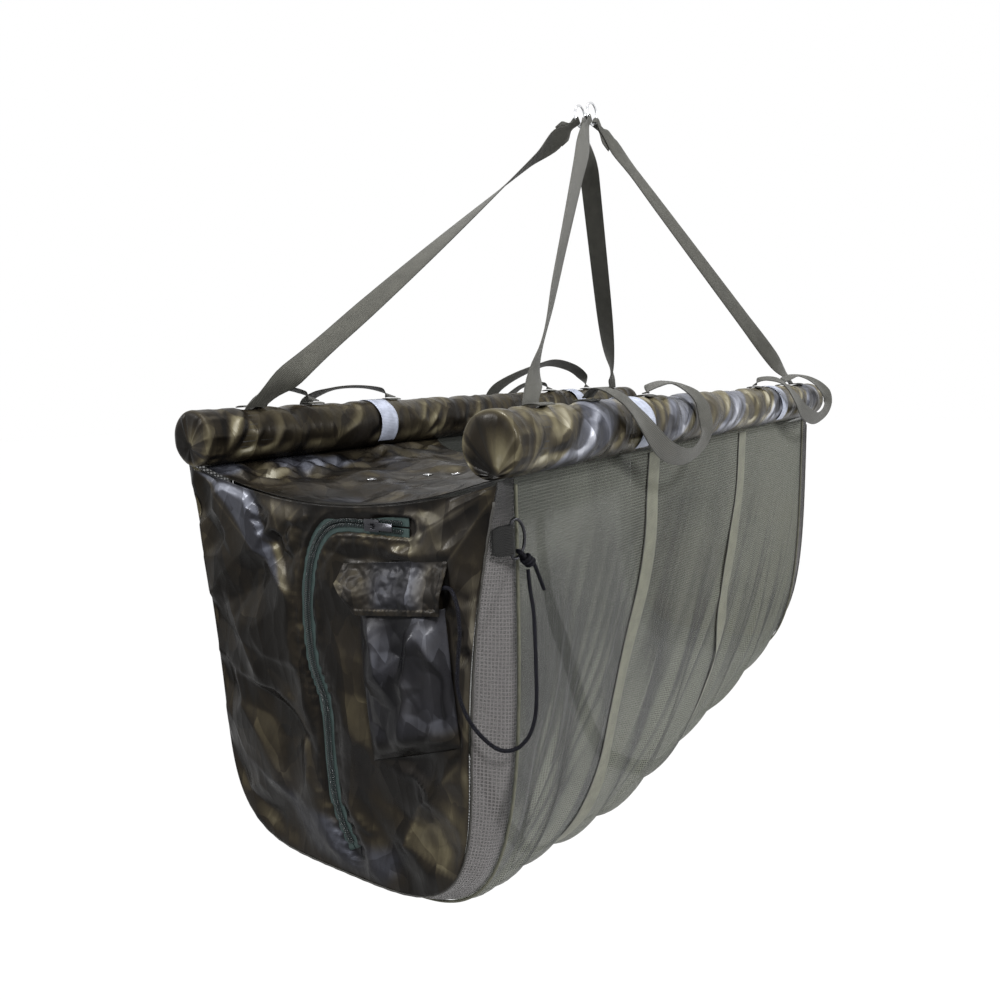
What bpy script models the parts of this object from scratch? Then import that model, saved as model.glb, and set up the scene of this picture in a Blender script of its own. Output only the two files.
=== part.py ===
"""Weigh sling: a floating fish cradle hung on two rings by four webbing straps.

Metres, +Z up. X runs along the floats (the zipped end is at -X), the front float is at -Y, and the origin is
the point where the scale's hook holds both rings.
"""

import math

import bmesh
import bpy
from mathutils import Matrix, Vector

# Floats
FLOAT_LENGTH = 1.2
FLOAT_RADIUS = 0.034
FLOAT_SPACING = 0.407
FRONT_FLOAT_SHIFT = 0.006
BACK_FLOAT_SHIFT = -0.018
FOAM_RADIUS = 0.0305
SLEEVE_CLOTH = 0.0008
SLEEVE_PUCKER = 0.0016
CAP_DEPTH = 0.015
CAP_PROFILE_SHARES = ((1.0, -0.4), (1.0, 0.0), (0.93, 0.6), (0.76, 0.93), (0.4, 1.0), (0.0, 0.92))
PLEAT_DEPTH = 0.0022
BAND_WIDTH = 0.035
BAND_CLOTH = 0.0006
BAND_PLACE_SHARE = 0.5
BAND_OPEN_ANGLE = math.radians(42)

# Cloths and gaps
NYLON = 0.0008
MESH_CLOTH = 0.001
SEAM_GAP = 0.0004
RUNNING_GAP = 0.0006
WELD = 0.00001
OVERRUN = 0.02
FUSE = 0.0003

# Bag: how it hangs from end to end. Each station is a share of half the length, then the depth as a share of
# BAG_DEPTH, the half width and the sideways lean as shares of half the spacing, the squareness of the U, and
# how far its walls bow.
BAG_DEPTH = 0.66
STATION_SHARES = (-1.0, -0.925, -0.75, -0.5, 0.0, 0.5, 0.75, 0.925, 1.0)
DEPTH_SHARES = (0.693, 0.737, 0.838, 0.925, 0.995, 0.942, 0.875, 0.8, 0.763)
WIDTH_SHARES = (1.1, 1.02, 1.0, 1.0, 1.0, 1.0, 1.0, 1.0, 1.0)
LEAN_SHARES = (0.03, 0.005, 0.0, 0.0, 0.0, 0.0, 0.0, 0.0, 0.0)
SQUARENESS_SHARES = (3.9, 4.1, 2.7, 1.9, 1.95, 2.4, 3.2, 4.0, 4.2)
BOW_SHARES = (-0.15, 0.0, -0.03, -0.045, -0.045, -0.045, -0.03, 0.0, 0.0)
SIDE_SHARE = 0.37
GUSSET_WIDTH = 0.045
FOLD_DEPTH = 0.005
FOLD_COUNT = 6
FOLD_LEAN_SHARE = 0.3

# Nylon ends and hoods
END_CROWN = 0.012
RIDGE_SAG = 0.033
HEM_SAG = 0.014
HOOD_MID_LENGTH = 0.335
HOOD_SIDE_LENGTH = 0.45
EYELET_PLACE_SHARES = ((0.37, 0.63), (0.54, 0.52), (0.575, 0.435))
EYELET_BORE = 0.0032
EYELET_WALL = 0.0006
EYELET_FLANGE = 0.006
EYELET_GRIP = 0.0034

# Straps, rings and carrying handles
STRAP_WIDTH = 0.032
WEBBING = 0.0014
STRAP_PLACE = 0.505
RING_RADIUS = 0.016
RING_WIRE = 0.002
RING_SPACING = 0.021
EYE_SLACK = 0.002
EYE_ANGLE = math.radians(50)
EYE_LENGTH = 0.012
EYE_PINCH_SHARE = 0.32
STRAP_TAIL = 0.045
HOOK_HEIGHT = 0.479
TACK_WRAP_ANGLE = math.radians(34)
HANDLE_WIDTH = 0.025
HANDLE_PLACE = 0.32
HANDLE_SPAN = 0.16
HANDLE_WEBBING = 0.0016
HANDLE_PIVOT = 0.0012
TWIST_PLACE_SHARES = (0.0, 0.13, 0.3, 0.5, 0.75, 0.9, 1.0)
STRAP_TWIST_SHARES = {
    ("front", "near"): (0.0, 0.24, 0.19, 0.15, 0.08, 0.02, 0.11),
    ("front", "far"): (0.0, -0.2, -0.16, -0.12, -0.07, -0.04, -0.11),
    ("back", "near"): (0.0, -0.39, -0.46, -0.57, -0.75, -0.89, -1.11),
    ("back", "far"): (0.0, 0.37, 0.59, 0.69, 0.72, 0.76, 1.11),
}

# Girth webbing and piping
GIRTH_WIDTH = 0.038
GIRTH_PLACE_SHARES = (-0.375, 0.2917)
GIRTH_STANDOFF = 0.0018
PIPING_RADIUS = 0.0016
PIPING_GAP = 0.0009

# Zip
TAPE_WIDTH = 0.0115
TAPE = 0.001
TAPE_PARTING = 0.0022
TAPE_INSET = 0.0016
SLOT_WIDTH = 0.019
TOOTH_PITCH = 0.0138
TOOTH_THICK = 0.0036
TOOTH_HEIGHT = 0.0022
TOOTH_REACH = 0.0009
TOOTH_ROOT = 0.0045
ZIP_PARTED = 0.05
SLIDER_LENGTH = 0.02
SLIDER_WIDTH = 0.0125
SLIDER_PLATE = 0.0012
SLIDER_POST = 0.0022
SLIDER_CLEARANCE = 0.0009
SLIDER_PLACE = 0.046
BAIL_HEIGHT = 0.0036
BAIL_LENGTH = 0.011
BAIL_WIDTH = 0.0016
PULL_LENGTH = 0.03
PULL_WIDTH = 0.008
PULL_PLATE = 0.0014
PULL_WINDOW = 0.0056

# Pocket, D-ring and cord
POCKET_BULGE = 0.017
FLAP_STANDOFF = 0.0016
FLAP_LIFT = 0.0122
CORD_RADIUS = 0.002
HANK_LOOPS = 3
HANK_LENGTH = 0.09
HANK_WIDTH = 0.066
HANK_PITCH = 0.0022
HANK_STEP_IN = 0.0046
D_WIDTH = 0.04
D_DEPTH = 0.019
D_WIRE = 0.0018
D_CORNER_SHARE = 0.08
D_REST_ANGLE = math.radians(14)
D_PLACE = (0.0205, -0.2175, -0.09)
TAB_WIDTH = 0.024
TAB_REACH = (-0.0205, 0.0063, 0.0)
KNOT_RADIUS = 0.0075
KNOT_PLACE_ANGLE = math.radians(50)
KNOT_TAIL = (0.011, -0.006, -0.032)

FLOAT_Z = -HOOK_HEIGHT
TOP_Z = FLOAT_Z - FLOAT_RADIUS + SEAM_GAP
HALF_LENGTH = FLOAT_LENGTH / 2
HALF_SPACING = FLOAT_SPACING / 2
SIDES = {"front": -1, "back": 1}
ENDS = {"near": -1, "far": 1}

# Zip route on the zipped end, from its top stop: across, then down from the floats' axes.
ZIP_ROUTE = (
    (-0.112, -0.0835), (-0.080, -0.0835), (-0.050, -0.0835), (-0.026, -0.0840), (-0.006, -0.0885),
    (0.009, -0.1000), (0.020, -0.1180), (0.027, -0.1430), (0.0305, -0.1750), (0.0295, -0.2100),
    (0.025, -0.2450), (0.015, -0.2700), (0.009, -0.2900), (0.0085, -0.3240), (0.0095, -0.3600),
    (0.0085, -0.3950), (0.001, -0.4260), (-0.010, -0.4500), (-0.015, -0.4590),
)  # fmt: skip

# Free cord, from the pocket's mouth to the knot: along X from the zipped end, Y, and down from the floats' axes.
CORD_ROUTE = (
    (-0.0085, -0.1380, -0.1660), (-0.0090, -0.1400, -0.1540), (-0.0100, -0.1480, -0.1430),
    (-0.0112, -0.1570, -0.1375), (-0.0130, -0.1670, -0.1350), (-0.0185, -0.1770, -0.1375),
    (-0.0210, -0.1840, -0.1510), (-0.0225, -0.1865, -0.1750), (-0.0235, -0.1840, -0.2010),
    (-0.0235, -0.1830, -0.2300), (-0.0210, -0.1910, -0.2560), (-0.0150, -0.2040, -0.2760),
    (-0.0060, -0.2180, -0.2890), (0.0040, -0.2300, -0.2885), (0.0120, -0.2390, -0.2770),
    (0.0170, -0.2435, -0.2580), (0.0185, -0.2445, -0.2350), (0.0200, -0.2435, -0.2110),
    (0.0235, -0.2410, -0.1850), (0.0285, -0.2370, -0.1600), (0.0335, -0.2305, -0.1400),
    (0.0385, -0.2253, -0.1214),
)  # fmt: skip

# Handle routes: along the float, outwards and upwards from its axis, as shares of the span and of the radius,
# then the webbing's turn as a share of half a turn.
FRONT_NEAR_HANDLE_SHARES = (
    (-0.50, 0.00, 1.088, 0.0), (-0.50, 0.42, 1.40, 0.0), (-0.47, 1.18, 1.06, 0.0), (-0.25, 1.40, 0.30, 0.0),
    (0.16, 1.46, -0.85, 0.0), (0.62, 1.44, -1.28, -0.06), (0.99, 1.42, -0.80, -0.14), (1.07, 1.36, 0.00, -0.14),
    (1.05, 1.00, 0.90, -0.08), (0.84, 0.32, 1.44, 0.0), (0.62, 0.05, 1.36, 0.0), (0.50, 0.00, 1.088, 0.0),
)  # fmt: skip
FRONT_FAR_HANDLE_SHARES = (
    (-0.60, 0.00, 1.088, 0.0), (-0.56, 0.30, 1.40, 0.0), (-0.35, 0.98, 1.25, 0.0), (-0.08, 1.38, 0.42, 0.0),
    (0.32, 1.46, -0.45, 0.0), (0.90, 1.46, -0.95, -0.06), (1.42, 1.46, -0.50, -0.14), (1.46, 1.42, 0.36, -0.14),
    (1.18, 0.90, 1.16, -0.06), (0.90, 0.25, 1.50, 0.0), (0.66, 0.05, 1.36, 0.0), (0.50, 0.00, 1.088, 0.0),
)  # fmt: skip
BACK_NEAR_HANDLE_SHARES = (
    (-0.50, 0.00, 1.088, 0.0), (-0.60, 0.08, 1.45, 0.0), (-0.76, 0.45, 1.60, 0.0), (-0.90, 1.05, 1.15, 0.0),
    (-0.95, 1.44, 0.10, 0.0), (-0.70, 1.46, -0.75, 0.0), (-0.36, 1.42, 0.10, 0.0), (-0.36, 0.98, 1.10, 0.0),
    (-0.22, 0.42, 1.48, 0.0), (0.02, 0.20, 1.60, 0.0), (0.32, 0.05, 1.48, 0.0), (0.50, 0.00, 1.088, 0.0),
)  # fmt: skip
BACK_FAR_HANDLE_SHARES = (
    (0.50, 0.00, 1.088, 0.0), (0.42, 0.12, 1.80, 0.05), (0.15, 0.25, 2.35, 0.1), (-0.30, 0.40, 2.62, 0.12),
    (-0.75, 0.52, 2.25, 0.14), (-1.15, 0.75, 1.72, 0.16), (-1.40, 1.05, 1.10, 0.16), (-1.40, 1.44, 0.25, 0.1),
    (-1.15, 1.40, 0.35, 0.0), (-0.85, 0.85, 1.30, 0.0), (-0.62, 0.20, 1.42, 0.0), (-0.50, 0.00, 1.088, 0.0),
)  # fmt: skip
HANDLE_SHARES = {
    ("front", "near"): FRONT_NEAR_HANDLE_SHARES,
    ("front", "far"): FRONT_FAR_HANDLE_SHARES,
    ("back", "near"): BACK_NEAR_HANDLE_SHARES,
    ("back", "far"): BACK_FAR_HANDLE_SHARES,
}

# Pocket and flap corners on the zipped end: across, then down from the floats' axes.
POCKET_CORNERS = ((-0.050, -0.172), (-0.158, -0.158), (-0.172, -0.298), (-0.060, -0.336))
FLAP_CORNERS = ((-0.030, -0.126), (-0.162, -0.110), (-0.160, -0.163), (-0.052, -0.175))
FLAP_POINT = 0.018

COUNTS = {"wall": 8, "floor": 6, "along": 24, "round": 14}


def clear_scene():
    for thing in list(bpy.data.objects):
        bpy.data.objects.remove(thing, do_unlink=True)


def paint(name, colour, roughness, metallic=0.0):
    material = bpy.data.materials.get(name) or bpy.data.materials.new(name)
    material.use_nodes = True
    shader = material.node_tree.nodes["Principled BSDF"]
    shader.inputs["Base Color"].default_value = (*colour, 1.0)
    shader.inputs["Roughness"].default_value = roughness
    shader.inputs["Metallic"].default_value = metallic
    return material


def nylon_paint():
    return paint("camo_nylon", (0.045, 0.04, 0.025), 0.32)


def mesh_paint():
    return paint("olive_mesh", (0.12, 0.13, 0.10), 0.8)


def webbing_paint():
    return paint("olive_webbing", (0.07, 0.07, 0.05), 0.75)


def metal_paint():
    return paint("chrome", (0.75, 0.76, 0.78), 0.2, 1.0)


def cord_paint():
    return paint("braided_cord", (0.015, 0.016, 0.03), 0.6)


def new_object(name, data, material, origin=(0, 0, 0)):
    thing = bpy.data.objects.new(name, data)
    thing.location = origin
    sling = bpy.data.collections["weigh_sling"]
    sling.objects.link(thing)
    data.materials.append(material)
    return thing


def sheet(name, columns, rows, place, thickness, material, origin=(0, 0, 0)):
    """A cloth: a grid laid out by place(across, down), both from 0 to 1, then thickened."""
    shape = bmesh.new()
    bmesh.ops.create_grid(shape, x_segments=columns, y_segments=rows, size=1.0)
    for vert in shape.verts:
        vert.co = Vector(place((vert.co.x + 1) / 2, (vert.co.y + 1) / 2)) - Vector(origin)
    bmesh.ops.remove_doubles(shape, verts=shape.verts, dist=WELD)
    bmesh.ops.recalc_face_normals(shape, faces=shape.faces)
    mesh = bpy.data.meshes.new(name)
    shape.to_mesh(mesh)
    shape.free()
    thing = new_object(name, mesh, material, origin)
    solid = thing.modifiers.new("thickness", "SOLIDIFY")
    solid.thickness = thickness
    solid.offset = 0
    solid.use_even_offset = True
    return thing


def ribbon(name, points, sides, widths, thickness, material, origin=(0, 0, 0)):
    """A webbing: a flat band through the points, its width lying along each side direction."""
    last = len(points) - 1

    def place(across, down):
        step = round(down * last)
        return points[step] + sides[step] * (widths[step] * (across - 0.5))

    return sheet(name, 1, last, place, thickness, material, origin)


def cord(name, points, radius, material, resolution=2, cyclic=False):
    curve = bpy.data.curves.new(name, "CURVE")
    curve.dimensions = "3D"
    curve.bevel_depth = radius
    curve.bevel_resolution = resolution
    curve.use_fill_caps = not cyclic
    line = curve.splines.new("POLY")
    line.points.add(len(points) - 1)
    for spot, point in zip(line.points, points):
        spot.co = (*point, 1.0)
    line.use_cyclic_u = cyclic
    return new_object(name, curve, material)


def solid_from(name, shape, material, origin=(0, 0, 0)):
    mesh = bpy.data.meshes.new(name)
    shape.to_mesh(mesh)
    shape.free()
    return new_object(name, mesh, material, origin)


def helper(name, shape):
    """A cutter or an addition for a Boolean, kept out of the render."""
    mesh = bpy.data.meshes.new(name)
    shape.to_mesh(mesh)
    shape.free()
    thing = bpy.data.objects.new(name, mesh)
    bpy.data.collections["cutters"].objects.link(thing)
    thing.hide_render = True
    thing.display_type = "WIRE"
    return thing


def combine(target, other, operation):
    change = target.modifiers.new(operation.lower(), "BOOLEAN")
    change.operation = operation
    change.solver = "EXACT"
    change.object = other


def tube(points, radius, cyclic=False, segments=6):
    """A round tube through the points as a mesh, for Booleans."""
    shape = bmesh.new()
    last = len(points) - 1
    rings = []
    across = None
    for i, point in enumerate(points):
        after = points[(i + 1) % len(points)] if cyclic else points[min(i + 1, last)]
        along = (after - (points[i - 1] if cyclic else points[max(i - 1, 0)])).normalized()
        across = (across or along.orthogonal()).normalized()
        across = (across - along * across.dot(along)).normalized()
        over = along.cross(across)
        ring = []
        for step in range(segments):
            angle = 2 * math.pi * step / segments
            ring.append(shape.verts.new(point + (across * math.cos(angle) + over * math.sin(angle)) * radius))
        rings.append(ring)
    for i in range(len(points) if cyclic else last):
        ring, following = rings[i], rings[(i + 1) % len(points)]
        for step in range(segments):
            beside = (step + 1) % segments
            shape.faces.new((ring[step], ring[beside], following[beside], following[step]))
    if not cyclic:
        shape.faces.new(list(reversed(rings[0])))
        shape.faces.new(rings[-1])
    bmesh.ops.recalc_face_normals(shape, faces=shape.faces)
    return shape


def box(shape, size, matrix):
    made = bmesh.ops.create_cube(shape, size=1.0)
    scale = Matrix.Diagonal((*size, 1.0))
    bmesh.ops.transform(shape, verts=made["verts"], matrix=matrix @ scale)


def frame_matrix(x_axis, y_axis, z_axis, origin):
    turn = Matrix((x_axis, y_axis, z_axis)).transposed()
    return Matrix.Translation(origin) @ turn.to_4x4()


def smooth(value):
    value = min(max(value, 0.0), 1.0)
    return value * value * (3 - 2 * value)


def between(low, high, share):
    return low + (high - low) * share


def station_value(share, values):
    return table_value(share, STATION_SHARES, values)


def table_value(share, places, values):
    """The table's value at a share, on a smooth curve through its places."""
    step = max(i for i in range(len(places) - 1) if places[i] <= share or i == 0)
    slopes = []
    for i in (step, step + 1):
        low = max(i - 1, 0)
        high = min(i + 1, len(places) - 1)
        slopes.append((values[high] - values[low]) / (places[high] - places[low]))
    width = places[step + 1] - places[step]
    t = (share - places[step]) / width
    return (
        values[step] * (2 * t**3 - 3 * t**2 + 1)
        + slopes[0] * width * (t**3 - 2 * t**2 + t)
        + values[step + 1] * (3 * t**2 - 2 * t**3)
        + slopes[1] * width * (t**3 - t**2)
    )


SECTIONS = {}


def section(x):
    """The U across the bag at x: points (y, z) from the front float to the back one, with their lengths."""
    key = round(x / WELD)
    if key not in SECTIONS:
        share = x / HALF_LENGTH
        depth = BAG_DEPTH * station_value(share, DEPTH_SHARES)
        half = HALF_SPACING * station_value(share, WIDTH_SHARES)
        lean = HALF_SPACING * station_value(share, LEAN_SHARES)
        power = station_value(share, SQUARENESS_SHARES)
        bow = station_value(share, BOW_SHARES)
        points = []
        for step in range(-90, 91):
            angle = math.radians(step)
            sine = math.sin(angle)
            down = abs(math.cos(angle)) ** (2 / power) if abs(step) < 90 else 0.0
            y = math.copysign(abs(sine) ** (2 / power), sine) * half
            points.append((lean + y * (1 + bow * math.sin(math.pi * down)), TOP_Z - depth * down))
        lengths = [0.0]
        for (y0, z0), (y1, z1) in zip(points, points[1:]):
            lengths.append(lengths[-1] + math.hypot(y1 - y0, z1 - z0))
        SECTIONS[key] = (points, lengths)
    return SECTIONS[key]


def girth(x):
    return section(x)[1][-1]


def section_point(x, share):
    points, lengths = section(x)
    goal = min(max(share, 0.0), 1.0) * lengths[-1]
    step = 0
    while step < len(points) - 2 and lengths[step + 1] < goal:
        step += 1
    part = (goal - lengths[step]) / (lengths[step + 1] - lengths[step])
    y = between(points[step][0], points[step + 1][0], part)
    z = between(points[step][1], points[step + 1][1], part)
    return Vector((x, y, z))


def outwards(x, share):
    reach = 0.01
    along = section_point(x, share + reach) - section_point(x, share - reach)
    return Vector((0, along.z, -along.y)).normalized()


CORNER_X = HALF_LENGTH - GUSSET_WIDTH


def fold(x, share):
    """How far the cloth stands out: broad folds that start at the floats and run to the middle of the floor."""
    down = min(share, 1 - share) / SIDE_SHARE
    held = smooth(down) * smooth((CORNER_X - abs(x)) / (GUSSET_WIDTH * 2))
    leaning = x / CORNER_X / (1 - FOLD_LEAN_SHARE * smooth(down))
    return FOLD_DEPTH * held * math.sin(math.pi * FOLD_COUNT * leaning + 2 * down)


def skin(x, share):
    return section_point(x, share) + outwards(x, share) * fold(x, share)


def wall_shares():
    """Shares of the girth at the cloth's rows: closest together at the two lower corners."""
    side = [SIDE_SHARE * (1 - (1 - i / COUNTS["wall"]) ** 1.3) for i in range(COUNTS["wall"])]
    turns = [(1 - math.cos(math.pi * i / COUNTS["floor"])) / 2 for i in range(COUNTS["floor"] + 1)]
    floor = [between(SIDE_SHARE, 1 - SIDE_SHARE, turn) for turn in turns]
    return side + floor + [1 - share for share in reversed(side)]


def cloth_skin(x, share):
    """The same cloth as the grids have it: flat between their rows and columns."""
    pitch = 2 * CORNER_X / COUNTS["along"]
    column = min(int((x + CORNER_X) / pitch), COUNTS["along"] - 1)
    x0 = -CORNER_X + column * pitch
    rows = wall_shares()
    row = max(i for i in range(len(rows) - 1) if rows[i] <= share or i == 0)
    part = (share - rows[row]) / (rows[row + 1] - rows[row])
    near = skin(x0, rows[row]).lerp(skin(x0, rows[row + 1]), part)
    far = skin(x0 + pitch, rows[row]).lerp(skin(x0 + pitch, rows[row + 1]), part)
    return near.lerp(far, (x - x0) / pitch)


def float_axis(side):
    shift = FRONT_FLOAT_SHIFT if side == "front" else BACK_FLOAT_SHIFT
    return Vector((shift, SIDES[side] * HALF_SPACING, FLOAT_Z))


def round_float(side, x, angle, radius):
    """A point round a float: the angle runs from the outer side over the top."""
    axis = float_axis(side)
    return Vector((x, axis.y + SIDES[side] * math.cos(angle) * radius, axis.z + math.sin(angle) * radius))


def float_core(side):
    shape = bmesh.new()
    length = FLOAT_LENGTH - 2 * (CAP_DEPTH + SEAM_GAP)
    turn = Matrix.Rotation(math.pi / 2, 4, "Y")
    bmesh.ops.create_cone(
        shape, cap_ends=True, segments=COUNTS["round"] * 2, radius1=FOAM_RADIUS, radius2=FOAM_RADIUS,
        depth=length, matrix=turn,
    )  # fmt: skip
    solid_from(f"float_core_{side}", shape, paint("foam", (0.02, 0.02, 0.02), 0.9), float_axis(side))


def float_sleeve(side):
    """The nylon tube over the foam, drawn in between its stitches so that it puckers slantwise."""
    length = FLOAT_LENGTH - 2 * (CAP_DEPTH * (1 - CAP_PROFILE_SHARES[0][1]) + SEAM_GAP)
    middle = float_axis(side).x
    radius = FLOAT_RADIUS - SLEEVE_CLOTH / 2

    def place(across, down):
        angle = 2 * math.pi * across
        x = middle + length * (down - 0.5)
        ends = smooth((0.5 - abs(down - 0.5)) * 2 * COUNTS["round"] / 4)
        pucker = math.sin(angle + 2 * math.pi * 8 * down) + math.sin(2 * angle - 2 * math.pi * 5 * down)
        return round_float(side, x, angle, radius - SLEEVE_PUCKER * ends * (2 + pucker) / 4)

    sheet(f"float_sleeve_{side}", COUNTS["round"], 17, place, SLEEVE_CLOTH, nylon_paint())


def sleeve_cap(side, end):
    """A gathered end: a skirt, a rounded edge and pleats that run to the middle."""
    sign = ENDS[end]
    tip = float_axis(side).x + sign * HALF_LENGTH
    rim = FLOAT_RADIUS - SLEEVE_CLOTH / 2
    rows = len(CAP_PROFILE_SHARES) - 1

    def place(across, down):
        angle = 2 * math.pi * across
        wide, reach = CAP_PROFILE_SHARES[round(down * rows)]
        pleat = PLEAT_DEPTH * math.sin(math.pi * max(reach, 0)) * (1 + math.cos(7 * angle)) / 2
        return round_float(side, tip - sign * (CAP_DEPTH * (1 - reach) + pleat), angle, rim * wide)

    sheet(f"sleeve_cap_{side}_{end}", COUNTS["round"], rows, place, SLEEVE_CLOTH, nylon_paint())


def reflective_band(side, end):
    middle = ENDS[end] * HALF_LENGTH * BAND_PLACE_SHARE
    radius = FLOAT_RADIUS + SEAM_GAP + BAND_CLOTH / 2

    def place(across, down):
        angle = between(-math.pi / 2 + BAND_OPEN_ANGLE, math.pi * 3 / 2 - BAND_OPEN_ANGLE, across)
        return round_float(side, middle + BAND_WIDTH * (down - 0.5), angle, radius)

    name = f"reflective_band_{side}_{end}"
    sheet(name, 16, 1, place, BAND_CLOTH, paint("reflective", (0.6, 0.62, 0.78), 0.35))


def hang_ring(side):
    centre = Vector((0, SIDES[side] * RING_SPACING / 2, -(RING_RADIUS - RING_WIRE)))
    bpy.ops.mesh.primitive_torus_add(
        major_segments=24, minor_segments=8, major_radius=RING_RADIUS, minor_radius=RING_WIRE,
        location=centre, rotation=(math.pi / 2, 0, 0),
    )  # fmt: skip
    ring = bpy.context.object
    ring.name = f"hang_ring_{side}"
    ring.data.materials.append(metal_paint())
    for group in list(ring.users_collection):
        group.objects.unlink(ring)
    bpy.data.collections["weigh_sling"].objects.link(ring)


def hanging_strap(side, end):
    """A strap: sewn round the top of its float, up to its ring with a twist, round the wire and back on itself."""
    sign = ENDS[end]
    foot_x = float_axis(side).x + sign * STRAP_PLACE
    lift = FLOAT_RADIUS + SEAM_GAP + WEBBING / 2
    centre = Vector((0, SIDES[side] * RING_SPACING / 2, -(RING_RADIUS - RING_WIRE)))
    swing = Vector((sign * math.sin(EYE_ANGLE), 0, -math.cos(EYE_ANGLE)))
    wire = Vector((math.cos(EYE_ANGLE), 0, sign * math.sin(EYE_ANGLE)))
    eye = centre + swing * RING_RADIUS
    foot = round_float(side, foot_x, math.pi / 2 + TACK_WRAP_ANGLE / 2, lift)
    up = (eye - foot).normalized()
    normal = up.cross(wire).normalized()
    level = (Vector((1, 0, 0)) - up * up.x).normalized()
    layer = (WEBBING + RUNNING_GAP) / 2
    radius = RING_WIRE + EYE_SLACK + WEBBING / 2
    twists = STRAP_TWIST_SHARES[(side, end)]
    final = math.atan2(level.cross(wire).dot(up), level.dot(wire))
    points = []
    sides = []
    widths = []

    def add(point, across, width=STRAP_WIDTH):
        points.append(point)
        sides.append(across)
        widths.append(width)

    for step in range(5):
        angle = math.pi / 2 + TACK_WRAP_ANGLE * (step / 4 - 0.5)
        add(round_float(side, foot_x, angle, lift), Vector((1, 0, 0)))
    bend = points[-1] + up * WEBBING * 2 + Vector((0, 0, WEBBING))
    add(bend, Vector((1, 0, 0)))
    run_end = eye - up * EYE_LENGTH - normal * layer
    for step in range(1, 18):
        share = step / 17
        twist = table_value(share, TWIST_PLACE_SHARES, twists) * math.pi
        landing = final - math.pi * round((final - twists[-1] * math.pi) / math.pi)
        twist = between(twist, landing, smooth((share - 0.85) / 0.13))
        across = Matrix.Rotation(twist, 3, up) @ level
        across = Vector((1, 0, 0)).lerp(across, smooth(share * 9)).normalized()
        pinch = between(1, EYE_PINCH_SHARE, smooth((share - 0.93) / 0.07))
        add(bend.lerp(run_end, share), across, STRAP_WIDTH * pinch)
    landed = 1 if sides[-1].dot(wire) > 0 else -1
    narrow = STRAP_WIDTH * EYE_PINCH_SHARE
    for step in range(9):
        angle = math.pi * step / 8
        add(eye + (up * math.sin(angle) - normal * math.cos(angle)) * radius, wire * landed, narrow)
    tail = eye + normal * layer
    across = sides[-1] - up * sides[-1].dot(up)
    for share in (0.27, 0.5, 0.75, 1.0):
        width = between(narrow, STRAP_WIDTH, smooth((share - 0.27) / 0.4))
        add(tail - up * STRAP_TAIL * share, across.normalized(), width)
    ribbon(f"hanging_strap_{side}_{end}", points, sides, widths, WEBBING, webbing_paint())


def handle_feet(side, end):
    middle = float_axis(side).x + ENDS[end] * HANDLE_PLACE
    return [middle + spot[0] * HANDLE_SPAN for spot in (HANDLE_SHARES[(side, end)][i] for i in (0, -1))]


def handle_tack(side, end, number, x):
    """A sewn foot of a handle, folded flat on the sleeve."""
    lift = FLOAT_RADIUS + SEAM_GAP / 2 + HANDLE_WEBBING / 2

    def place(across, down):
        angle = math.pi / 2 + TACK_WRAP_ANGLE * (down - 0.5)
        return round_float(side, x + HANDLE_WIDTH * (across - 0.5), angle, lift)

    sheet(f"handle_tack_{side}_{end}_{number}", 1, 4, place, HANDLE_WEBBING, webbing_paint())


def curve_through(spots, steps):
    """Points on a smooth curve through the spots, each a tuple of numbers."""
    found = []
    for i in range(len(spots) - 1):
        before = spots[max(i - 1, 0)]
        after = spots[min(i + 2, len(spots) - 1)]
        for step in range(steps):
            t = step / steps
            values = []
            for a, b, c, d in zip(before, spots[i], spots[i + 1], after):
                values.append(
                    b + (c - a) / 2 * t + (2 * a - 5 * b + 4 * c - d) / 2 * t**2 + (3 * (b - c) + d - a) / 2 * t**3
                )
            found.append(tuple(values))
    return found + [tuple(spots[-1])]


def carry_handle(side, end):
    axis = float_axis(side)
    middle = axis.x + ENDS[end] * HANDLE_PLACE
    spots = curve_through(HANDLE_SHARES[(side, end)], 2)
    points = []
    for along, out, up, _ in spots:
        y = axis.y + SIDES[side] * out * FLOAT_RADIUS
        points.append(Vector((middle + along * HANDLE_SPAN, y, axis.z + up * FLOAT_RADIUS)))
    sides = []
    for i, point in enumerate(points):
        along = (points[min(i + 1, len(points) - 1)] - points[max(i - 1, 0)]).normalized()
        radial = Vector((0, point.y - axis.y, point.z - axis.z)).normalized()
        flat = along.cross(radial).normalized()
        foot = Vector((1 if flat.x > 0 else -1, 0, 0))
        turned = Matrix.Rotation(math.pi * spots[i][3], 3, along) @ flat
        loose = smooth(min(i, len(points) - 1 - i) / 2)
        sides.append(foot.lerp(turned, loose).normalized())
    for i in range(1, len(sides)):
        if sides[i].dot(sides[i - 1]) < 0:
            sides[i] = -sides[i]
    origin = Vector((middle, axis.y, axis.z + FLOAT_RADIUS + HANDLE_WEBBING + HANDLE_PIVOT))
    widths = [HANDLE_WIDTH] * len(points)
    ribbon(f"carry_handle_{side}_{end}", points, sides, widths, HANDLE_WEBBING, webbing_paint(), origin)


def bag_side(side):
    shares = wall_shares()

    def place(across, down):
        x = between(-CORNER_X, CORNER_X, across)
        share = shares[round(down * COUNTS["wall"])]
        if round(down * COUNTS["wall"]) == COUNTS["wall"]:
            share -= SEAM_GAP / girth(x)
        x = min(max(x, -CORNER_X + SEAM_GAP), CORNER_X - SEAM_GAP)
        return skin(x, share if side == "front" else 1 - share)

    sheet(f"mesh_side_{side}", COUNTS["along"], COUNTS["wall"], place, MESH_CLOTH, mesh_paint())


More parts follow.
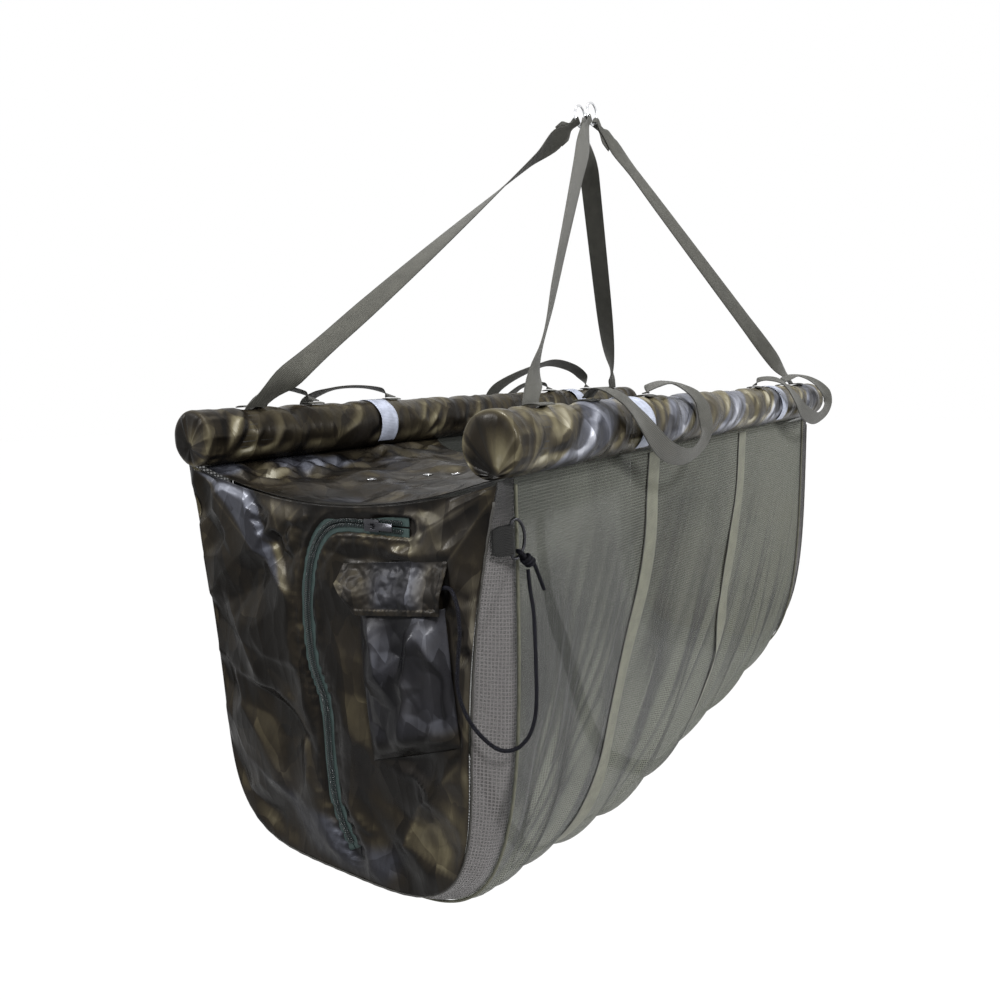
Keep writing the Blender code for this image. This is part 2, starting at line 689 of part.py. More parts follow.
def bag_floor():
    shares = wall_shares()

    def place(across, down):
        x = between(-CORNER_X, CORNER_X, across)
        row = round(down * COUNTS["floor"])
        share = shares[COUNTS["wall"] + row]
        inward = (row == 0) - (row == COUNTS["floor"])
        x = min(max(x, -CORNER_X + SEAM_GAP), CORNER_X - SEAM_GAP)
        return skin(x, share + inward * SEAM_GAP / girth(x))

    sheet("mesh_floor", COUNTS["along"], COUNTS["floor"], place, MESH_CLOTH, mesh_paint())


def gusset(end):
    """The doubled mesh strip that boxes the nylon end to the sides and floor."""
    shares = wall_shares()
    rows = len(shares) - 1

    def place(across, down):
        outer = HALF_LENGTH - NYLON / 2 - SEAM_GAP
        x = ENDS[end] * between(outer, CORNER_X + SEAM_GAP, across)
        return section_point(x, shares[round(down * rows)])

    sheet(f"gusset_{end}", 2, rows, place, MESH_CLOTH, paint("brown_mesh", (0.1, 0.09, 0.085), 0.8))


def seam_piping(end):
    """A bound seam between the gusset and the sides, standing just proud of both."""
    x = ENDS[end] * CORNER_X
    lift = MESH_CLOTH / 2 + PIPING_GAP + PIPING_RADIUS
    points = [section_point(x, share) + outwards(x, share) * lift for share in wall_shares()[1:-1]]
    points.insert(0, points[0].lerp(section_point(x, 0) + outwards(x, 0) * lift, 0.7))
    points.append(points[-1].lerp(section_point(x, 1) + outwards(x, 1) * lift, 0.7))
    cord(f"seam_piping_{end}", points, PIPING_RADIUS, webbing_paint())


def girth_strap(end, x_place):
    """Light webbing sewn down the front, under the floor and up the back, to carry the load."""
    shares = wall_shares()
    steps = len(shares) - 1

    def place(across, down):
        share = min(max(shares[round(down * steps)], 0.004), 0.996)
        x = x_place + GIRTH_WIDTH * (across - 0.5)
        return cloth_skin(x, share) + outwards(x_place, share) * GIRTH_STANDOFF

    sheet(f"girth_strap_{end}", 1, steps, place, WEBBING / 2, paint("light_webbing", (0.25, 0.26, 0.2), 0.8))


def ridge_z(y):
    half = HALF_SPACING * WIDTH_SHARES[0]
    return TOP_Z - RIDGE_SAG * max(1 - (y / half) ** 2, 0.0)


def end_bulge(y, z):
    """How far the nylon end stands out from its flat plane."""
    half = HALF_SPACING * WIDTH_SHARES[0]
    down = min(max((TOP_Z - z) / (BAG_DEPTH * DEPTH_SHARES[0]), 0.0), 1.0)
    crown = END_CROWN * max(1 - (y / half) ** 2, 0.0) * math.sin(math.pi * down)
    loose = smooth((y / half - 0.3) * 3) * math.sin(math.pi * down)
    return crown + FOLD_DEPTH * loose * (1 + math.sin(math.pi * (2.5 * y / half + 2 * down))) / 2


def on_end(end, y, z, lift=0.0):
    """A point on a nylon end, at a height above its cloth."""
    return Vector((ENDS[end] * (HALF_LENGTH + end_bulge(y, z) + lift), y, z))


def end_panel(end):
    """A nylon end: ruled from its sagging top edge to the U of the gusset."""
    shares = wall_shares()
    columns = len(shares) - 1
    number = 0 if end == "near" else -1
    half = HALF_SPACING * WIDTH_SHARES[number]
    lean = HALF_SPACING * LEAN_SHARES[number]

    def place(across, down):
        share = shares[round(across * columns)]
        y = between(lean - half, lean + half, share)
        top = Vector((0, y, ridge_z(y) if 0 < share < 1 else TOP_Z))
        foot = section_point(ENDS[end] * HALF_LENGTH, share)
        spot = top.lerp(Vector((0, foot.y, foot.z)), down)
        return on_end(end, spot.y, spot.z)

    name = "zip_end_panel" if end == "near" else "far_end_panel"
    return sheet(name, columns, 8, place, NYLON, nylon_paint())


def hood_point(end, across, down, lift=0.0):
    """A point on a hood, the roof between the floats: across from front to back, down from its ridge to its hem."""
    half = HALF_SPACING - MESH_CLOTH / 2 - SEAM_GAP * 2
    y = between(-half, half, across)
    reach = between(HOOD_MID_LENGTH, HOOD_SIDE_LENGTH, (y / half) ** 2)
    start = HALF_LENGTH - NYLON / 2 - SEAM_GAP
    x = start - reach * down
    ridge = between(RIDGE_SAG, HEM_SAG, down)
    z = TOP_Z - NYLON / 2 - ridge * (1 - (y / half) ** 2)
    return Vector((ENDS[end] * x, y, z + lift))


def hood(end):
    cloth = sheet(
        f"hood_{end}", 12, 6, lambda across, down: hood_point(end, across, down), NYLON, nylon_paint()
    )
    if end == "far":
        return
    for number, (down, across) in enumerate(EYELET_PLACE_SHARES):
        spot, turn = eyelet_frame(down, across)
        shape = bmesh.new()
        radius = EYELET_BORE + EYELET_WALL + SEAM_GAP
        bmesh.ops.create_cone(
            shape, cap_ends=True, segments=16, radius1=radius, radius2=radius, depth=OVERRUN,
            matrix=Matrix.Translation(spot) @ turn,
        )  # fmt: skip
        combine(cloth, helper(f"eyelet_hole_{number}", shape), "DIFFERENCE")


def eyelet_frame(down, across):
    spot = hood_point("near", across, down)
    reach = 0.03
    along = hood_point("near", across, down + reach) - hood_point("near", across, down - reach)
    over = hood_point("near", across + reach, down) - hood_point("near", across - reach, down)
    normal = along.cross(over).normalized()
    return spot, normal.to_track_quat("Z", "Y").to_matrix().to_4x4()


def eyelet(number):
    """A two-flanged eyelet: its profile is turned round the barrel."""
    spot, turn = eyelet_frame(*EYELET_PLACE_SHARES[number])
    half = EYELET_GRIP / 2
    inner = half - EYELET_WALL
    wall = EYELET_BORE + EYELET_WALL
    profile = [
        (EYELET_BORE, -half), (EYELET_FLANGE, -half), (EYELET_FLANGE, -inner), (wall, -inner), (wall, inner),
        (EYELET_FLANGE, inner), (EYELET_FLANGE, half), (EYELET_BORE, half),
    ]  # fmt: skip
    shape = bmesh.new()
    verts = [shape.verts.new((radius, 0, z)) for radius, z in profile]
    edges = [shape.edges.new((verts[i], verts[(i + 1) % len(verts)])) for i in range(len(verts))]
    bmesh.ops.spin(
        shape, geom=verts + edges, axis=(0, 0, 1), cent=(0, 0, 0), steps=12, angle=2 * math.pi, use_merge=True,
    )  # fmt: skip
    bmesh.ops.remove_doubles(shape, verts=shape.verts, dist=WELD)
    bmesh.ops.recalc_face_normals(shape, faces=shape.faces)
    eyelet_object = solid_from(f"hood_eyelet_{number + 1}", shape, metal_paint(), spot)
    eyelet_object.rotation_euler = turn.to_euler()


def zip_frames(pitch):
    """Evenly spaced spots on the zip: point, direction and side, with the run from the top stop."""
    spots = [Vector((0, y, z + FLOAT_Z)) for y, z in curve_through(ZIP_ROUTE, 8)]
    runs = [0.0]
    for a, b in zip(spots, spots[1:]):
        runs.append(runs[-1] + (b - a).length)
    frames = []
    goal = 0.0
    step = 0
    while goal <= runs[-1]:
        while step < len(runs) - 2 and runs[step + 1] < goal:
            step += 1
        part = (goal - runs[step]) / (runs[step + 1] - runs[step])
        point = spots[step].lerp(spots[step + 1], part)
        low = max(step - 3, 0)
        high = min(step + 4, len(spots) - 1)
        along = (spots[high] - spots[low]).normalized()
        frames.append((goal, point, along, Vector((0, along.z, -along.y))))
        goal += pitch
    return frames


def zip_slot():
    frames = zip_frames(TOOTH_PITCH / 2)[1:2] + zip_frames(TOOTH_PITCH)[1:-1]

    def place(across, down):
        _, point, _, side = frames[round(down * (len(frames) - 1))]
        return point + side * SLOT_WIDTH * (across - 0.5) - Vector((HALF_LENGTH, 0, 0))

    cutter = sheet("zip_slot", 1, len(frames) - 1, place, OVERRUN * 4, nylon_paint())
    bpy.data.collections["weigh_sling"].objects.unlink(cutter)
    bpy.data.collections["cutters"].objects.link(cutter)
    cutter.hide_render = True
    cutter.display_type = "WIRE"
    return cutter


def zip_half(name, sign):
    """One tape with its row of coil turns, which interlock with the other row below the slider."""
    frames = zip_frames(TOOTH_PITCH)
    last = len(frames) - 1
    tape_paint = paint("zip_tape", (0.02, 0.035, 0.035), 0.55)

    def place(across, down):
        _, point, _, side = frames[round(down * last)]
        spot = point + side * sign * (TAPE_PARTING + TAPE_WIDTH * across)
        return on_end("near", spot.y, spot.z, -TAPE_INSET)

    tape = sheet(name, 1, last, place, TAPE, tape_paint)
    teeth = bmesh.new()
    for number, (run, point, along, side) in enumerate(zip_frames(TOOTH_PITCH / 2)):
        if number % 2 != (sign > 0) or not TOOTH_PITCH < run < frames[-2][0] - TOOTH_THICK:
            continue
        reach = -TAPE_PARTING if run < ZIP_PARTED else TOOTH_REACH
        length = TAPE_PARTING + TOOTH_ROOT + reach
        spot = point + side * sign * (TAPE_PARTING + TOOTH_ROOT - length / 2)
        lift = TAPE / 2 - FUSE + TOOTH_HEIGHT / 2 - TAPE_INSET
        middle = on_end("near", spot.y, spot.z, lift)
        box(teeth, (TOOTH_HEIGHT, length, TOOTH_THICK), frame_matrix((1, 0, 0), side, along, middle))
    combine(tape, helper(f"{name}_teeth", teeth), "UNION")


def slider_spot():
    frames = zip_frames(TOOTH_PITCH / 4)
    frame = min(frames, key=lambda spot: abs(spot[0] - SLIDER_PLACE))
    return on_end("near", frame[1].y, frame[1].z, -TAPE_INSET), frame[2], frame[3]


def zip_slider():
    """Two plates over and under the rows, joined by the post that parts them, with a bail on top."""
    spot, along, side = slider_spot()
    under = TAPE / 2 + SLIDER_CLEARANCE + SLIDER_PLATE / 2
    over = -(TAPE / 2 - FUSE + TOOTH_HEIGHT + SLIDER_CLEARANCE + SLIDER_PLATE / 2)
    axes = frame_matrix((1, 0, 0), side, along, (0, 0, 0))
    plates = bmesh.new()
    box(plates, (SLIDER_PLATE, SLIDER_WIDTH, SLIDER_LENGTH), axes @ Matrix.Translation((over, 0, 0)))
    slider = solid_from("zip_slider", plates, metal_paint(), spot)
    lower = bmesh.new()
    box(lower, (SLIDER_PLATE, SLIDER_WIDTH, SLIDER_LENGTH), axes @ Matrix.Translation((under, 0, 0)))
    post = bmesh.new()
    place = Matrix.Translation(((under + over) / 2, 0, -SLIDER_LENGTH * 0.35))
    box(post, (under - over, SLIDER_POST, SLIDER_LENGTH / 5), axes @ place)
    bail = bmesh.new()
    rise = over - SLIDER_PLATE / 2
    for shift in (-1, 1):
        place = Matrix.Translation((rise - BAIL_HEIGHT / 2 + FUSE / 2, 0, shift * (BAIL_LENGTH / 2 - BAIL_WIDTH)))
        box(bail, (BAIL_HEIGHT + FUSE, BAIL_WIDTH * 0.8, BAIL_WIDTH), axes @ place)
    bar = bmesh.new()
    box(bar, (BAIL_WIDTH, BAIL_WIDTH, BAIL_LENGTH), axes @ Matrix.Translation((rise - BAIL_HEIGHT, 0, 0)))
    for name, shape in (("slider_post", post), ("slider_under", lower), ("slider_bail", bail), ("slider_bar", bar)):
        part = helper(name, shape)
        part.location = spot
        combine(slider, part, "UNION")


def pull_pivot():
    spot, along, side = slider_spot()
    over = TAPE / 2 - FUSE + TOOTH_HEIGHT + SLIDER_CLEARANCE + SLIDER_PLATE
    return spot - Vector((over + PULL_PLATE / 2 + SLIDER_CLEARANCE, 0, 0)), along, side


def zip_pull():
    """A flat puller: its end bar lies under the bail and the plate swings over it."""
    pivot, along, side = pull_pivot()
    axes = frame_matrix((1, 0, 0), side, along, (0, 0, 0))
    shape = bmesh.new()
    half = PULL_PLATE / 2
    box(shape, (PULL_PLATE, PULL_WIDTH, PULL_LENGTH), axes @ Matrix.Translation((0, 0, half - PULL_LENGTH / 2)))
    pull = solid_from("zip_pull", shape, metal_paint(), pivot)
    window = bmesh.new()
    centre = half + PULL_WINDOW / 2
    box(window, (OVERRUN, PULL_WIDTH - 2 * PULL_PLATE, PULL_WINDOW), axes @ Matrix.Translation((0, 0, -centre)))
    cutter = helper("pull_window", window)
    cutter.location = pivot
    combine(pull, cutter, "DIFFERENCE")


def quad_point(corners, across, down):
    """A point in a four-cornered patch: across from its left to its right edge, down from its top edge."""
    top_left, top_right, low_right, low_left = (Vector((0, y, z + FLOAT_Z)) for y, z in corners)
    return top_left.lerp(top_right, across).lerp(low_left.lerp(low_right, across), down)


def pocket():
    """A bellows pocket: sewn down both sides and along its foot, open at the top."""

    def place(across, down):
        spot = quad_point(POCKET_CORNERS, across, down)
        full = (1 - (2 * across - 1) ** 6) * (1 - down**8)
        ripple = 1 + 0.1 * math.sin(3 * math.pi * across) * math.sin(2 * math.pi * down)
        lift = NYLON + SEAM_GAP * 2 + POCKET_BULGE * full * ripple * between(0.45, 1.0, smooth(down * 4))
        return on_end("near", spot.y, spot.z, lift)

    sheet("pocket", 10, 8, place, NYLON, nylon_paint())


def pocket_flap():
    """The pocket's flap, pointed at one end, with its hinge along the sewn top edge."""

    def place(across, down):
        spot = quad_point(FLAP_CORNERS, across, down)
        point = FLAP_POINT * (1 - abs(2 * down - 0.86)) * smooth(1 - across * 6)
        curl = smooth(down * 1.4)
        lift = FLAP_STANDOFF + FLAP_LIFT * curl
        return on_end("near", spot.y + point, spot.z, lift)

    hinge = on_end("near", *quad_point(FLAP_CORNERS, 0.5, 0)[1:], FLAP_STANDOFF)
    sheet("pocket_flap", 10, 6, place, NYLON, nylon_paint(), hinge)


def free_cord():
    spots = curve_through(CORD_ROUTE, 2)
    points = [Vector((x - HALF_LENGTH, y, z + FLOAT_Z)) for x, y, z in spots]
    cord("retaining_cord", points, CORD_RADIUS, cord_paint())


def cord_hank():
    """The spare cord inside the pocket: one unbroken tube, each loop lying inside and a little above the last."""
    middle = quad_point(POCKET_CORNERS, 0.5, 0.57)
    turns = 24
    points = []
    for step in range(turns * HANK_LOOPS + 1):
        angle = 2 * math.pi * step / turns
        loop = step / turns
        y = middle.y + (HANK_WIDTH / 2 - HANK_STEP_IN * loop) * math.sin(angle)
        z = middle.z + (HANK_LENGTH / 2 - HANK_STEP_IN * loop) * math.cos(angle)
        lift = NYLON + CORD_RADIUS + HANK_PITCH * loop
        points.append(on_end("near", y, z, lift))
    cord("cord_hank", points, CORD_RADIUS, cord_paint(), resolution=1)
    gap = least_gap(points, CORD_RADIUS, turns // 3)
    print(f"cord hank: least gap to itself {gap * 1000:.2f} mm")


def least_gap(points, radius, apart):
    least = math.inf
    for i, a in enumerate(points):
        for b in points[i + apart :]:
            least = min(least, (a - b).length)
    return least - 2 * radius


def d_bar():
    x, y, z = D_PLACE
    return Vector((x - HALF_LENGTH, y, z + FLOAT_Z))


def d_ring():
    """A D of round wire: the bar in the tab's fold, the bow lying back along the side."""
    bar = d_bar()
    corner = D_WIDTH * D_CORNER_SHARE
    points = [Vector((0, 0, D_WIDTH / 2 - corner)), Vector((0, 0, corner - D_WIDTH / 2))]
    points += [bow_point(-math.pi / 2 + math.pi * step / 16) for step in range(1, 16)]
    ring = cord("d_ring", points, D_WIRE, metal_paint(), cyclic=True)
    ring.location = bar


def bow_point(angle):
    """A point on the D's bow from its bar's middle, as it hangs a little off the bag."""
    reach = D_DEPTH * max(math.cos(angle), 0.0) ** 0.72
    hang = Vector((math.cos(D_REST_ANGLE), -math.sin(D_REST_ANGLE), 0))
    return hang * reach + Vector((0, 0, D_WIDTH / 2 * math.sin(angle)))


def ring_tab():
    """Doubled webbing sewn in at the corner, folded round the D-ring's bar."""
    bar = d_bar()
    radius = D_WIRE + RUNNING_GAP + WEBBING / 2
    root = bar + Vector(TAB_REACH)
    out = (bar - root).normalized()
    lift = Vector((out.y, -out.x, 0))
    layer = (WEBBING + RUNNING_GAP) / 2
    points = [root + lift * layer, bar - out * EYE_LENGTH * 0.7 + lift * layer]
    for step in range(9):
        angle = math.pi * step / 8
        points.append(bar + (lift * math.cos(angle) + out * math.sin(angle)) * radius)
    points += [bar - out * EYE_LENGTH * 0.7 - lift * layer, root - lift * layer]
    sides = [Vector((0, 0, 1))] * len(points)
    narrow = D_WIDTH * (1 - 2 * D_CORNER_SHARE) - 2 * (D_WIRE + RUNNING_GAP)
    widths = [TAB_WIDTH] + [narrow] * (len(points) - 2) + [TAB_WIDTH]
    ribbon("ring_tab", points, sides, widths, WEBBING, webbing_paint())


def cord_knot():
    """The knot under the D-ring: a turn round the wire, two lapping turns below it and a short tail."""
    reach = 0.05
    offset = bow_point(-KNOT_PLACE_ANGLE)
    wire = d_bar() + offset
    turn = D_WIRE + RUNNING_GAP + CORD_RADIUS
    along = (bow_point(reach - KNOT_PLACE_ANGLE) - bow_point(-reach - KNOT_PLACE_ANGLE)).normalized()
    hang = Vector((math.cos(D_REST_ANGLE), -math.sin(D_REST_ANGLE), 0))
    out = (hang * along.z - Vector((0, 0, 1)) * along.dot(hang)).normalized()
    shape = bmesh.new()
    bmesh.ops.create_uvsphere(
        shape, u_segments=12, v_segments=8, radius=KNOT_RADIUS,
        matrix=Matrix.Translation(out * (turn + KNOT_RADIUS * 0.9)) @ Matrix.Diagonal((1, 0.85, 1.25, 1)),
    )  # fmt: skip
    knot = solid_from("cord_knot", shape, cord_paint(), wire)
    across = out.cross(along)
    loops = ((Vector((0, 0, 0)), along, turn), (out * (turn + KNOT_RADIUS * 0.8), out, KNOT_RADIUS * 0.8))
    for number, (centre, axis, radius) in enumerate(loops):
        first = across
        second = axis.cross(first)
        points = []
        for step in range(12):
            sweep = 2 * math.pi * step / 12
            points.append(centre + (first * math.cos(sweep) + second * math.sin(sweep)) * radius)
        part = helper(f"knot_turn_{number}", tube(points, CORD_RADIUS, cyclic=True))
        part.location = wire
        combine(knot, part, "UNION")
    start = out * (turn + KNOT_RADIUS)
    tail = [start + Vector(KNOT_TAIL) * (step / 4) for step in range(5)]
    part = helper("knot_tail", tube(tail, CORD_RADIUS))
    part.location = wire
    combine(knot, part, "UNION")


def build():
    clear_scene()
    for name in ("weigh_sling", "cutters"):
        bpy.context.scene.collection.children.link(bpy.data.collections.new(name))
    for side in SIDES:
        float_core(side)
        float_sleeve(side)
        hang_ring(side)
        bag_side(side)
        for end in ENDS:
            sleeve_cap(side, end)
            reflective_band(side, end)
            hanging_strap(side, end)
            carry_handle(side, end)
            for number, x in enumerate(sorted(handle_feet(side, end))):
                handle_tack(side, end, number + 1, x)
    bag_floor()
    for end, place in zip(ENDS, GIRTH_PLACE_SHARES):
        gusset(end)
        seam_piping(end)
        girth_strap(end, CORNER_X * place)
        hood(end)
    zipped_end = end_panel("near")
    combine(zipped_end, zip_slot(), "DIFFERENCE")
    end_panel("far")
    for number in range(len(EYELET_PLACE_SHARES)):
        eyelet(number)
    zip_half("zip_tape_left", 1)
    zip_half("zip_tape_right", -1)
    zip_slider()
    zip_pull()
    pocket()
    pocket_flap()
    free_cord()
    cord_hank()
    d_ring()
    ring_tab()
    cord_knot()


build()
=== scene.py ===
"""Weigh sling, dressed: crinkled nylon, net, webbing, cord and metal over the CAD frame.

Metres, +Z up. X runs along the floats (the zipped end is at -X), the front float is at -Y, and the
origin is the point where the scale's hook holds both rings.
"""

import math

import bmesh
import bpy
from mathutils import Matrix, Vector, kdtree, noise


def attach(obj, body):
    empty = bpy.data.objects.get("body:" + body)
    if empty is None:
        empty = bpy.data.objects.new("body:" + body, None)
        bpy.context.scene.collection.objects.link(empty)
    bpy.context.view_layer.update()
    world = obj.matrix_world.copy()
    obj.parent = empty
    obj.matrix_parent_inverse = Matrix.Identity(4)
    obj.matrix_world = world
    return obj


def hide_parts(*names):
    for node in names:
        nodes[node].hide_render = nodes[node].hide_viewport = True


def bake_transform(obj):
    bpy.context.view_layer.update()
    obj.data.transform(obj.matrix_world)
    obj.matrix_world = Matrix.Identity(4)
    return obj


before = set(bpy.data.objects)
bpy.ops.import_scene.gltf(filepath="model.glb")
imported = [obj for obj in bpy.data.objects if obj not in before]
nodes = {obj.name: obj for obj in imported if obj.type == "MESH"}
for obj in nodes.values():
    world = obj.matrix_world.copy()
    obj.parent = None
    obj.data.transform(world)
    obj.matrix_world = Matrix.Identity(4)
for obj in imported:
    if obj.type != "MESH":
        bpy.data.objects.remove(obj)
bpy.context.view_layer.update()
bpy.ops.object.select_all(action="DESELECT")

# Floats
FLOAT_LENGTH = 1.2
FLOAT_RADIUS = 0.034
FLOAT_SPACING = 0.407
FLOAT_SHIFT = {"front": 0.006, "back": -0.018}
CAP_DEPTH = 0.015
SLEEVE_DRAW = 0.0031
PLEAT_DEPTH = 0.0013
BAND_WIDTH = 0.035
BAND_PLACE_SHARE = 0.5
BAND_OPEN_ANGLE = math.radians(42)

# Laps round the float, wave length and steepness of the sleeves' slant creases.
SLEEVE_CREASES = (
    (1, 0.135, 0.036), (2, 0.072, 0.046), (3, 0.044, 0.046), (-1, 0.09, 0.02), (5, 0.029, 0.04),
)  # fmt: skip
# Fixed light for the sleeves' painted light and shade, and per side the base tone and the gain of the
# painted light from crease lean.
SLEEVE_LIGHT = Vector((-0.45, -0.3, 0.84))
SLEEVE_LEVEL = {"front": (0.47, 1.7), "back": (0.27, 1.6)}
BAND_COOLNESS = {"front": 0.6, "back": 0.1}
# Around, along, and over each rim.
SLEEVE_GRID = (132, 500, 16)
GATHER_DROP_SHARE = {"front": 0.85, "back": 0.3}

# Cloths and gaps
NYLON = 0.0008
MESH_CLOTH = 0.001
SEAM_GAP = 0.0004
RUNNING_GAP = 0.0006

# Bag
BAG_DEPTH = 0.66
STATION_SHARES = (-1.0, -0.925, -0.75, -0.5, 0.0, 0.5, 0.75, 0.925, 1.0)
DEPTH_SHARES = (0.693, 0.737, 0.838, 0.925, 0.995, 0.942, 0.875, 0.8, 0.763)
WIDTH_SHARES = (1.1, 1.02, 1.0, 1.0, 1.0, 1.0, 1.0, 1.0, 1.0)
LEAN_SHARES = (0.03, 0.005, 0.0, 0.0, 0.0, 0.0, 0.0, 0.0, 0.0)
SQUARENESS_SHARES = (3.9, 4.1, 2.7, 1.9, 1.95, 2.4, 3.2, 4.0, 4.2)
BOW_SHARES = (-0.15, 0.0, -0.03, -0.045, -0.045, -0.045, -0.03, 0.0, 0.0)
SIDE_SHARE = 0.37
GUSSET_WIDTH = 0.045
FOLD_DEPTH = 0.005
FOLD_COUNT = 6
FOLD_LEAN_SHARE = 0.3
FINE_FOLDS = ((0.075, 0.0024), (0.034, 0.0013))
FOLD_SLANT = 0.16
NET_GRID = (288, 168)
NET_GIRTH = 1.5
GUSSET_GRID = (16, 280)
GUSSET_GIRTH = 1.32

# Nylon ends and hoods
END_CROWN = 0.012
RIDGE_SAG = 0.033
HEM_SAG = 0.014
HOOD_MID_LENGTH = 0.335
HOOD_SIDE_LENGTH = 0.45
EYELET_PLACE_SHARES = ((0.37, 0.63), (0.54, 0.52), (0.575, 0.435))
EYELET_HOLE = 0.0048

# Straps, rings and carrying handles
STRAP_WIDTH = 0.032
WEBBING = 0.0014
STRAP_PLACE = 0.505
RING_RADIUS = 0.016
RING_WIRE = 0.002
RING_SPACING = 0.021
EYE_SLACK = 0.002
EYE_ANGLE = math.radians(50)
EYE_LENGTH = 0.012
EYE_PINCH_SHARE = 0.32
STRAP_TAIL = 0.045
STRAP_PLAIN_SHARE = 0.27
TACK_STEPS = 12
TURN_STEPS = 12
RUN_STEPS = 68
TAIL_STEPS = 8
HOOK_HEIGHT = 0.479
TACK_WRAP_ANGLE = math.radians(34)
HANDLE_WIDTH = 0.025
HANDLE_PLACE = 0.32
HANDLE_SPAN = 0.16
HANDLE_WEBBING = 0.0016
TWIST_PLACE_SHARES = (0.0, 0.13, 0.3, 0.5, 0.75, 0.9, 1.0)
STRAP_TWIST_SHARES = {
    ("front", "near"): (0.0, 0.24, 0.19, 0.15, 0.08, 0.02, 0.11),
    ("front", "far"): (0.0, -0.2, -0.16, -0.12, -0.07, -0.04, -0.11),
    ("back", "near"): (0.0, -0.39, -0.46, -0.57, -0.75, -0.89, -1.11),
    ("back", "far"): (0.0, 0.37, 0.59, 0.69, 0.72, 0.76, 1.11),
}

# Girth webbing and piping
GIRTH_WIDTH = 0.038
GIRTH_PLACE_SHARES = (-0.375, 0.2917)
GIRTH_STANDOFF = 0.0018
GIRTH_SWAY = 0.011
GIRTH_STEPS = 150
PIPING_RADIUS = 0.0016
PIPING_GAP = 0.0009

# Zip
TAPE_WIDTH = 0.0115
TAPE = 0.001
TAPE_PARTING = 0.0022
TAPE_INSET = 0.0016
WELT_PLACE = 0.0115
WELT_WIDTH = 0.0035
VALLEY_DEPTH = 0.0046
WELT_HEIGHT = 0.0009
PUCKER_DEPTH = 0.0011
COIL_PITCH = 0.0024
COIL_WIRE = 0.00045
COIL_WIDTH = 0.0042
COIL_HEIGHT = 0.0019
COIL_STEPS = 8
ZIP_PARTED = 0.05
ZIP_STEPS = 24

# Pocket, D-ring and cord
POCKET_BULGE = 0.017
POCKET_SIZE = (0.125, 0.175)
FLAP_SIZE = (0.135, 0.055)
FLAP_STANDOFF = 0.0016
FLAP_LIFT = 0.0122
CORD_RADIUS = 0.002
HANK_LOOPS = 3
HANK_LENGTH = 0.09
HANK_WIDTH = 0.066
HANK_PITCH = 0.0022
HANK_STEP_IN = 0.0046
D_WIDTH = 0.04
D_DEPTH = 0.019
D_WIRE = 0.0018
D_CORNER_SHARE = 0.08
D_REST_ANGLE = math.radians(14)
D_BOW_POWER = 0.72
D_HANG = Vector((math.cos(D_REST_ANGLE), -math.sin(D_REST_ANGLE), 0))
D_PLACE = (0.0205, -0.2175, -0.09)
TAB_WIDTH = 0.024
TAB_REACH = (-0.0205, 0.0063, 0.0)
KNOT_RADIUS = 0.0075
KNOT_PLACE_ANGLE = math.radians(50)
KNOT_TAIL = (0.011, -0.006, -0.032)
KNOT_STEPS = 12

FLOAT_Z = -HOOK_HEIGHT
TOP_Z = FLOAT_Z - FLOAT_RADIUS + SEAM_GAP
HALF_LENGTH = FLOAT_LENGTH / 2
HALF_SPACING = FLOAT_SPACING / 2
CORNER_X = HALF_LENGTH - GUSSET_WIDTH
SIDES = {"front": -1, "back": 1}
ENDS = {"near": -1, "far": 1}

# Zip route on the zipped end, from its top stop: across, then down from the floats' axes.
ZIP_ROUTE = (
    (-0.112, -0.0835), (-0.080, -0.0835), (-0.050, -0.0835), (-0.026, -0.0840), (-0.006, -0.0885),
    (0.009, -0.1000), (0.020, -0.1180), (0.027, -0.1430), (0.0305, -0.1750), (0.0295, -0.2100),
    (0.025, -0.2450), (0.015, -0.2700), (0.009, -0.2900), (0.0085, -0.3240), (0.0095, -0.3600),
    (0.0085, -0.3950), (0.001, -0.4260), (-0.010, -0.4500), (-0.015, -0.4590),
)  # fmt: skip

# Cord, from the hank's outer turn to the pocket's mouth, then free to the knot: along X from the zipped
# end, Y, and down from the floats' axes.
CORD_LEAD = (
    (-0.0128, -0.1200, -0.2045), (-0.0124, -0.1290, -0.1980), (-0.0118, -0.1350, -0.1880),
    (-0.0100, -0.1375, -0.1770),
)  # fmt: skip
CORD_ROUTE = (
    (-0.0085, -0.1380, -0.1660), (-0.0090, -0.1400, -0.1540), (-0.0100, -0.1480, -0.1430),
    (-0.0112, -0.1570, -0.1375), (-0.0130, -0.1670, -0.1350), (-0.0185, -0.1770, -0.1375),
    (-0.0210, -0.1840, -0.1510), (-0.0225, -0.1865, -0.1750), (-0.0235, -0.1840, -0.2010),
    (-0.0235, -0.1830, -0.2300), (-0.0210, -0.1910, -0.2560), (-0.0150, -0.2040, -0.2760),
    (-0.0060, -0.2180, -0.2890), (0.0040, -0.2300, -0.2885), (0.0120, -0.2390, -0.2770),
    (0.0170, -0.2435, -0.2580), (0.0185, -0.2445, -0.2350), (0.0200, -0.2435, -0.2110),
    (0.0235, -0.2410, -0.1850), (0.0285, -0.2370, -0.1600), (0.0335, -0.2305, -0.1400),
    (0.0385, -0.2253, -0.1214),
)  # fmt: skip

